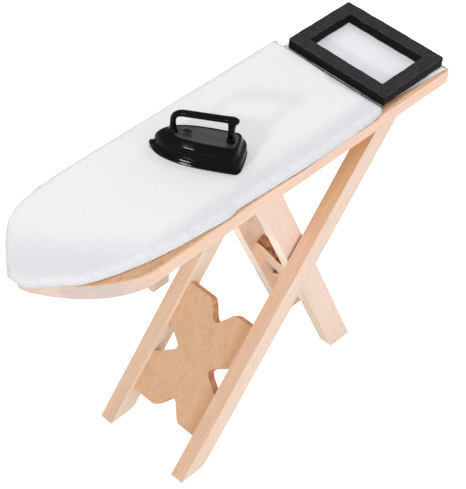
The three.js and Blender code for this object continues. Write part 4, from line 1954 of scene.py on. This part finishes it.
    def build(self) -> None:
        """Builds, places and dresses the iron."""
        gloss = EnamelFinish("iron_gloss", tint(3, 3, 4)).make()
        ribbed = EnamelFinish("dial_gloss", tint(8, 8, 9), (0.1, 0.16), specular=0.45).make()
        satin = EnamelFinish("iron_satin", tint(42, 42, 46), (0.32, 0.42), 0.02 * MM, 0.5, 0.25).make()
        self.place(piece("iron_sole_plate", self.sole()), Slot.ENAMEL, gloss, "iron_sole")
        body = piece("iron_body", self.shell())
        self.place(body, Slot.ENAMEL, gloss, "iron_shell")
        body.data.materials.append(satin)
        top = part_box("iron_sole")[0].z + (self.flank[-1][0] - self.sunk / 2) * MM
        for face in body.data.polygons:
            if face.normal.z > 0.95 and face.center.z < top:
                face.material_index = 1
        self.place(self.handle(), Slot.ENAMEL, gloss, "iron_handle")
        self.place(piece("iron_dial_knob", self.dial()), Slot.ENAMEL, ribbed, "iron_dial")


# Studio


@dataclass(frozen=True)
class Lamp:
    """A soft rectangular lamp aimed at the board."""

    name: str
    direction: Point
    distance: float
    size: Span
    power: float


@dataclass
class Studio:
    """The pale floor, the light and the camera."""

    aim: Point = (0.0, 0.0, 0.045)
    floor_size: float = 6.0
    floor_colour: Colour = (0.93, 0.93, 0.93, 1.0)
    floor_mottle: float = 0.99
    floor_glow: float = 0.58
    ambient: float = 0.62
    lamps: tuple[Lamp, ...] = (
        Lamp("key_lamp", (0.19, -0.93, 0.30), 0.7, (0.03, 0.047), 0.42),
        Lamp("side_lamp", (-0.29, -0.93, 0.17), 0.7, (0.05, 0.05), 0.6),
        Lamp("top_lamp", (0.0, 0.0, 1.0), 0.7, (0.13, 0.13), 1.26),
        Lamp("nose_lamp", (-0.90, -0.14, 0.42), 1.2, (0.15, 0.075), 3.75),
        Lamp("low_lamp", (-1.0, -0.1, 0.06), 0.7, (0.5, 0.3), 0.25),
    )
    target: Point = (5.86 * MM, 0.0, 35.0 * MM)
    azimuth: float = -48.19
    elevation: float = 45.16
    roll: float = 3.42
    rise: float = 7.06 * MM
    distance: float = 328.191 * MM
    focal_pixels: float = 1543.165
    sensor: float = 36.0
    clip: Span = (1 * MM, 20.0)

    def floor(self) -> None:
        """Lays the floor: pale, and lifted to white where no shadow falls."""
        half = self.floor_size / 2
        corners = np.array([(-half, -half, 0), (half, -half, 0), (half, half, 0), (-half, half, 0)])
        plane = piece("floor", (corners, [[0, 1, 2, 3]]), smooth=False)
        graph = Surface("floor_white")
        mottle = graph.noise(graph.place, 2.0, 0.5, 40.0)
        darker = shaded(self.floor_colour, self.floor_mottle)
        graph.set(base_color=graph.mix(mottle, self.floor_colour, darker))
        graph.set(roughness=1.0, specular_ior_level=0.0, emission_color=WHITE)
        graph.set(emission_strength=graph.times(graph.seen_directly(), self.floor_glow))
        dress(plane, graph.material)

    def world(self) -> None:
        """Surrounds the board with even light, and white where it is seen directly."""
        world = bpy.data.worlds.new("studio")
        bpy.context.scene.world = world
        world.use_nodes = True
        graph = Graph(world.node_tree)
        sky = graph.add("ShaderNodeBackground")
        graph.join(WHITE, sky.inputs["Color"])
        graph.join(graph.ramp(graph.seen_directly(), 0.0, 1.0, self.ambient, 1.0), sky.inputs["Strength"])
        graph.join(sky.outputs[0], graph.add("ShaderNodeOutputWorld").inputs["Surface"])

    def lights(self) -> None:
        """Hangs the lamps."""
        for lamp in self.lamps:
            data = bpy.data.lights.new(lamp.name, "AREA")
            data.shape = "RECTANGLE"
            data.size, data.size_y = lamp.size
            data.energy = lamp.power
            made = bpy.data.objects.new(lamp.name, data)
            away = Vector(lamp.direction).normalized()
            made.location = Vector(self.aim) + away * lamp.distance
            made.rotation_euler = (-away).to_track_quat("-Z", "Y").to_euler()
            bpy.context.scene.collection.objects.link(made)

    def camera(self) -> None:
        """Sets the camera where the photograph was taken from."""
        turn, tilt, roll = (math.radians(angle) for angle in (self.azimuth, self.elevation, self.roll))
        back = Vector((math.sin(turn) * math.cos(tilt), -math.cos(turn) * math.cos(tilt), math.sin(tilt)))
        level = Vector((math.cos(turn), math.sin(turn), 0.0))
        upward = back.cross(level)
        right = math.cos(roll) * level + math.sin(roll) * upward
        up = -math.sin(roll) * level + math.cos(roll) * upward
        data = bpy.data.cameras.new("camera")
        data.sensor_width = self.sensor
        data.lens = self.focal_pixels * self.sensor / max(IMAGE_SIZE)
        data.clip_start, data.clip_end = self.clip
        data.dof.use_dof = False
        made = bpy.data.objects.new("camera", data)
        bpy.context.scene.collection.objects.link(made)
        place = Vector(self.target) + up * self.rise + back * self.distance
        made.matrix_world = Matrix.Translation(place) @ Matrix((right, up, back)).transposed().to_4x4()
        bpy.context.scene.camera = made

    def build(self) -> None:
        """Sets up the whole studio."""
        bpy.context.scene.view_settings.view_transform = "Standard"
        self.floor()
        self.world()
        self.lights()
        self.camera()
        LOG.info("set up the studio")


# The whole


def clear_start() -> None:
    """Removes what the program starts with, and keeps the frame."""
    kept = set(frame["nodes"].values()) | set(frame["bodies"].values())
    for found in list(bpy.data.objects):
        if found not in kept:
            bpy.data.objects.remove(found)


def cloths() -> None:
    """Lays the cover with its line of adhesive and painted shadow, and the rest's pad."""
    weave = WovenFinish("cover_weave", tint(240, 240, 241), tint(192, 189, 203))
    cover = Cover(
        name="ironing_cover",
        node="cloth_cover",
        thickness=1.06 * MM,
        wall=0.36 * MM,
        shoulder=0.9 * MM,
        waviness=0.05 * MM,
        puff_limit=0.2 * MM,
        fill=0.3,
    )
    cover.build(Slot.COVER, weave.make())
    cover.seam()
    weave = WovenFinish("pad_weave", tint(244, 242, 247), tint(200, 196, 214))
    pad = RestPad(
        name="heel_pad",
        node="rest_pad",
        thickness=0.68 * MM,
        wall=0.3 * MM,
        shoulder=0.9 * MM,
        waviness=0.04 * MM,
        puff_limit=0.25 * MM,
        fill=0.25,
        seed=5.0,
    )
    pad.build(Slot.PAD, weave.make())


def leg_frames() -> tuple[LegFrame, LegFrame]:
    """The two leg frames with the colours of their wood.

    Returns:
        The outer and the inner frame.
    """
    # painted shade: a darker orange on the near outer leg's edges towards its top, under the board
    darkening = (tint(229, 184, 142), 0.046, 0.064)
    outer = LegFrame(
        label="outer",
        slope=52.3,
        tones={
            Side.NEAR: LegTones(tint(239, 214, 196), tint(227, 190, 163), darkening),
            # painted light: the far outer leg's face tone is lifted against the shade on its inner face
            Side.FAR: LegTones(tint(249, 231, 212), tint(223, 191, 164)),
        },
        panel_face=tint(219, 178, 144),
        cut_edge_tones=(tint(238, 182, 148), tint(204, 142, 108)),
        # painted shade on the outer panel towards the near leg
        joint_darkening=(tint(205, 156, 110), -5.6 * MM, -7.6 * MM),
        plugs=True,
    )
    inner = LegFrame(
        label="inner",
        slope=180 - 65.6,
        tones={
            # painted light: the inner legs' edges are near white, standing in for light bounced off the floor
            Side.NEAR: LegTones(tint(245, 219, 204), tint(254, 240, 224)),
            Side.FAR: LegTones(tint(244, 213, 187), tint(252, 238, 228)),
        },
        panel_face=tint(240, 216, 190),
        # scorched cut edge, darker than the outer panel's as painted shade
        cut_edge_tones=(tint(190, 134, 96), tint(128, 80, 52)),
        pins=True,
    )
    return outer, inner


def main() -> None:
    """Builds every piece in order."""
    logging.basicConfig(level=logging.INFO, format="%(message)s")
    clear_start()
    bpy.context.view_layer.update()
    Board().build()
    cloths()
    IronRest().build()
    for legs in leg_frames():
        legs.build()
    ToyIron().build()
    Studio().build()


if __name__ == "__main__":
    main()
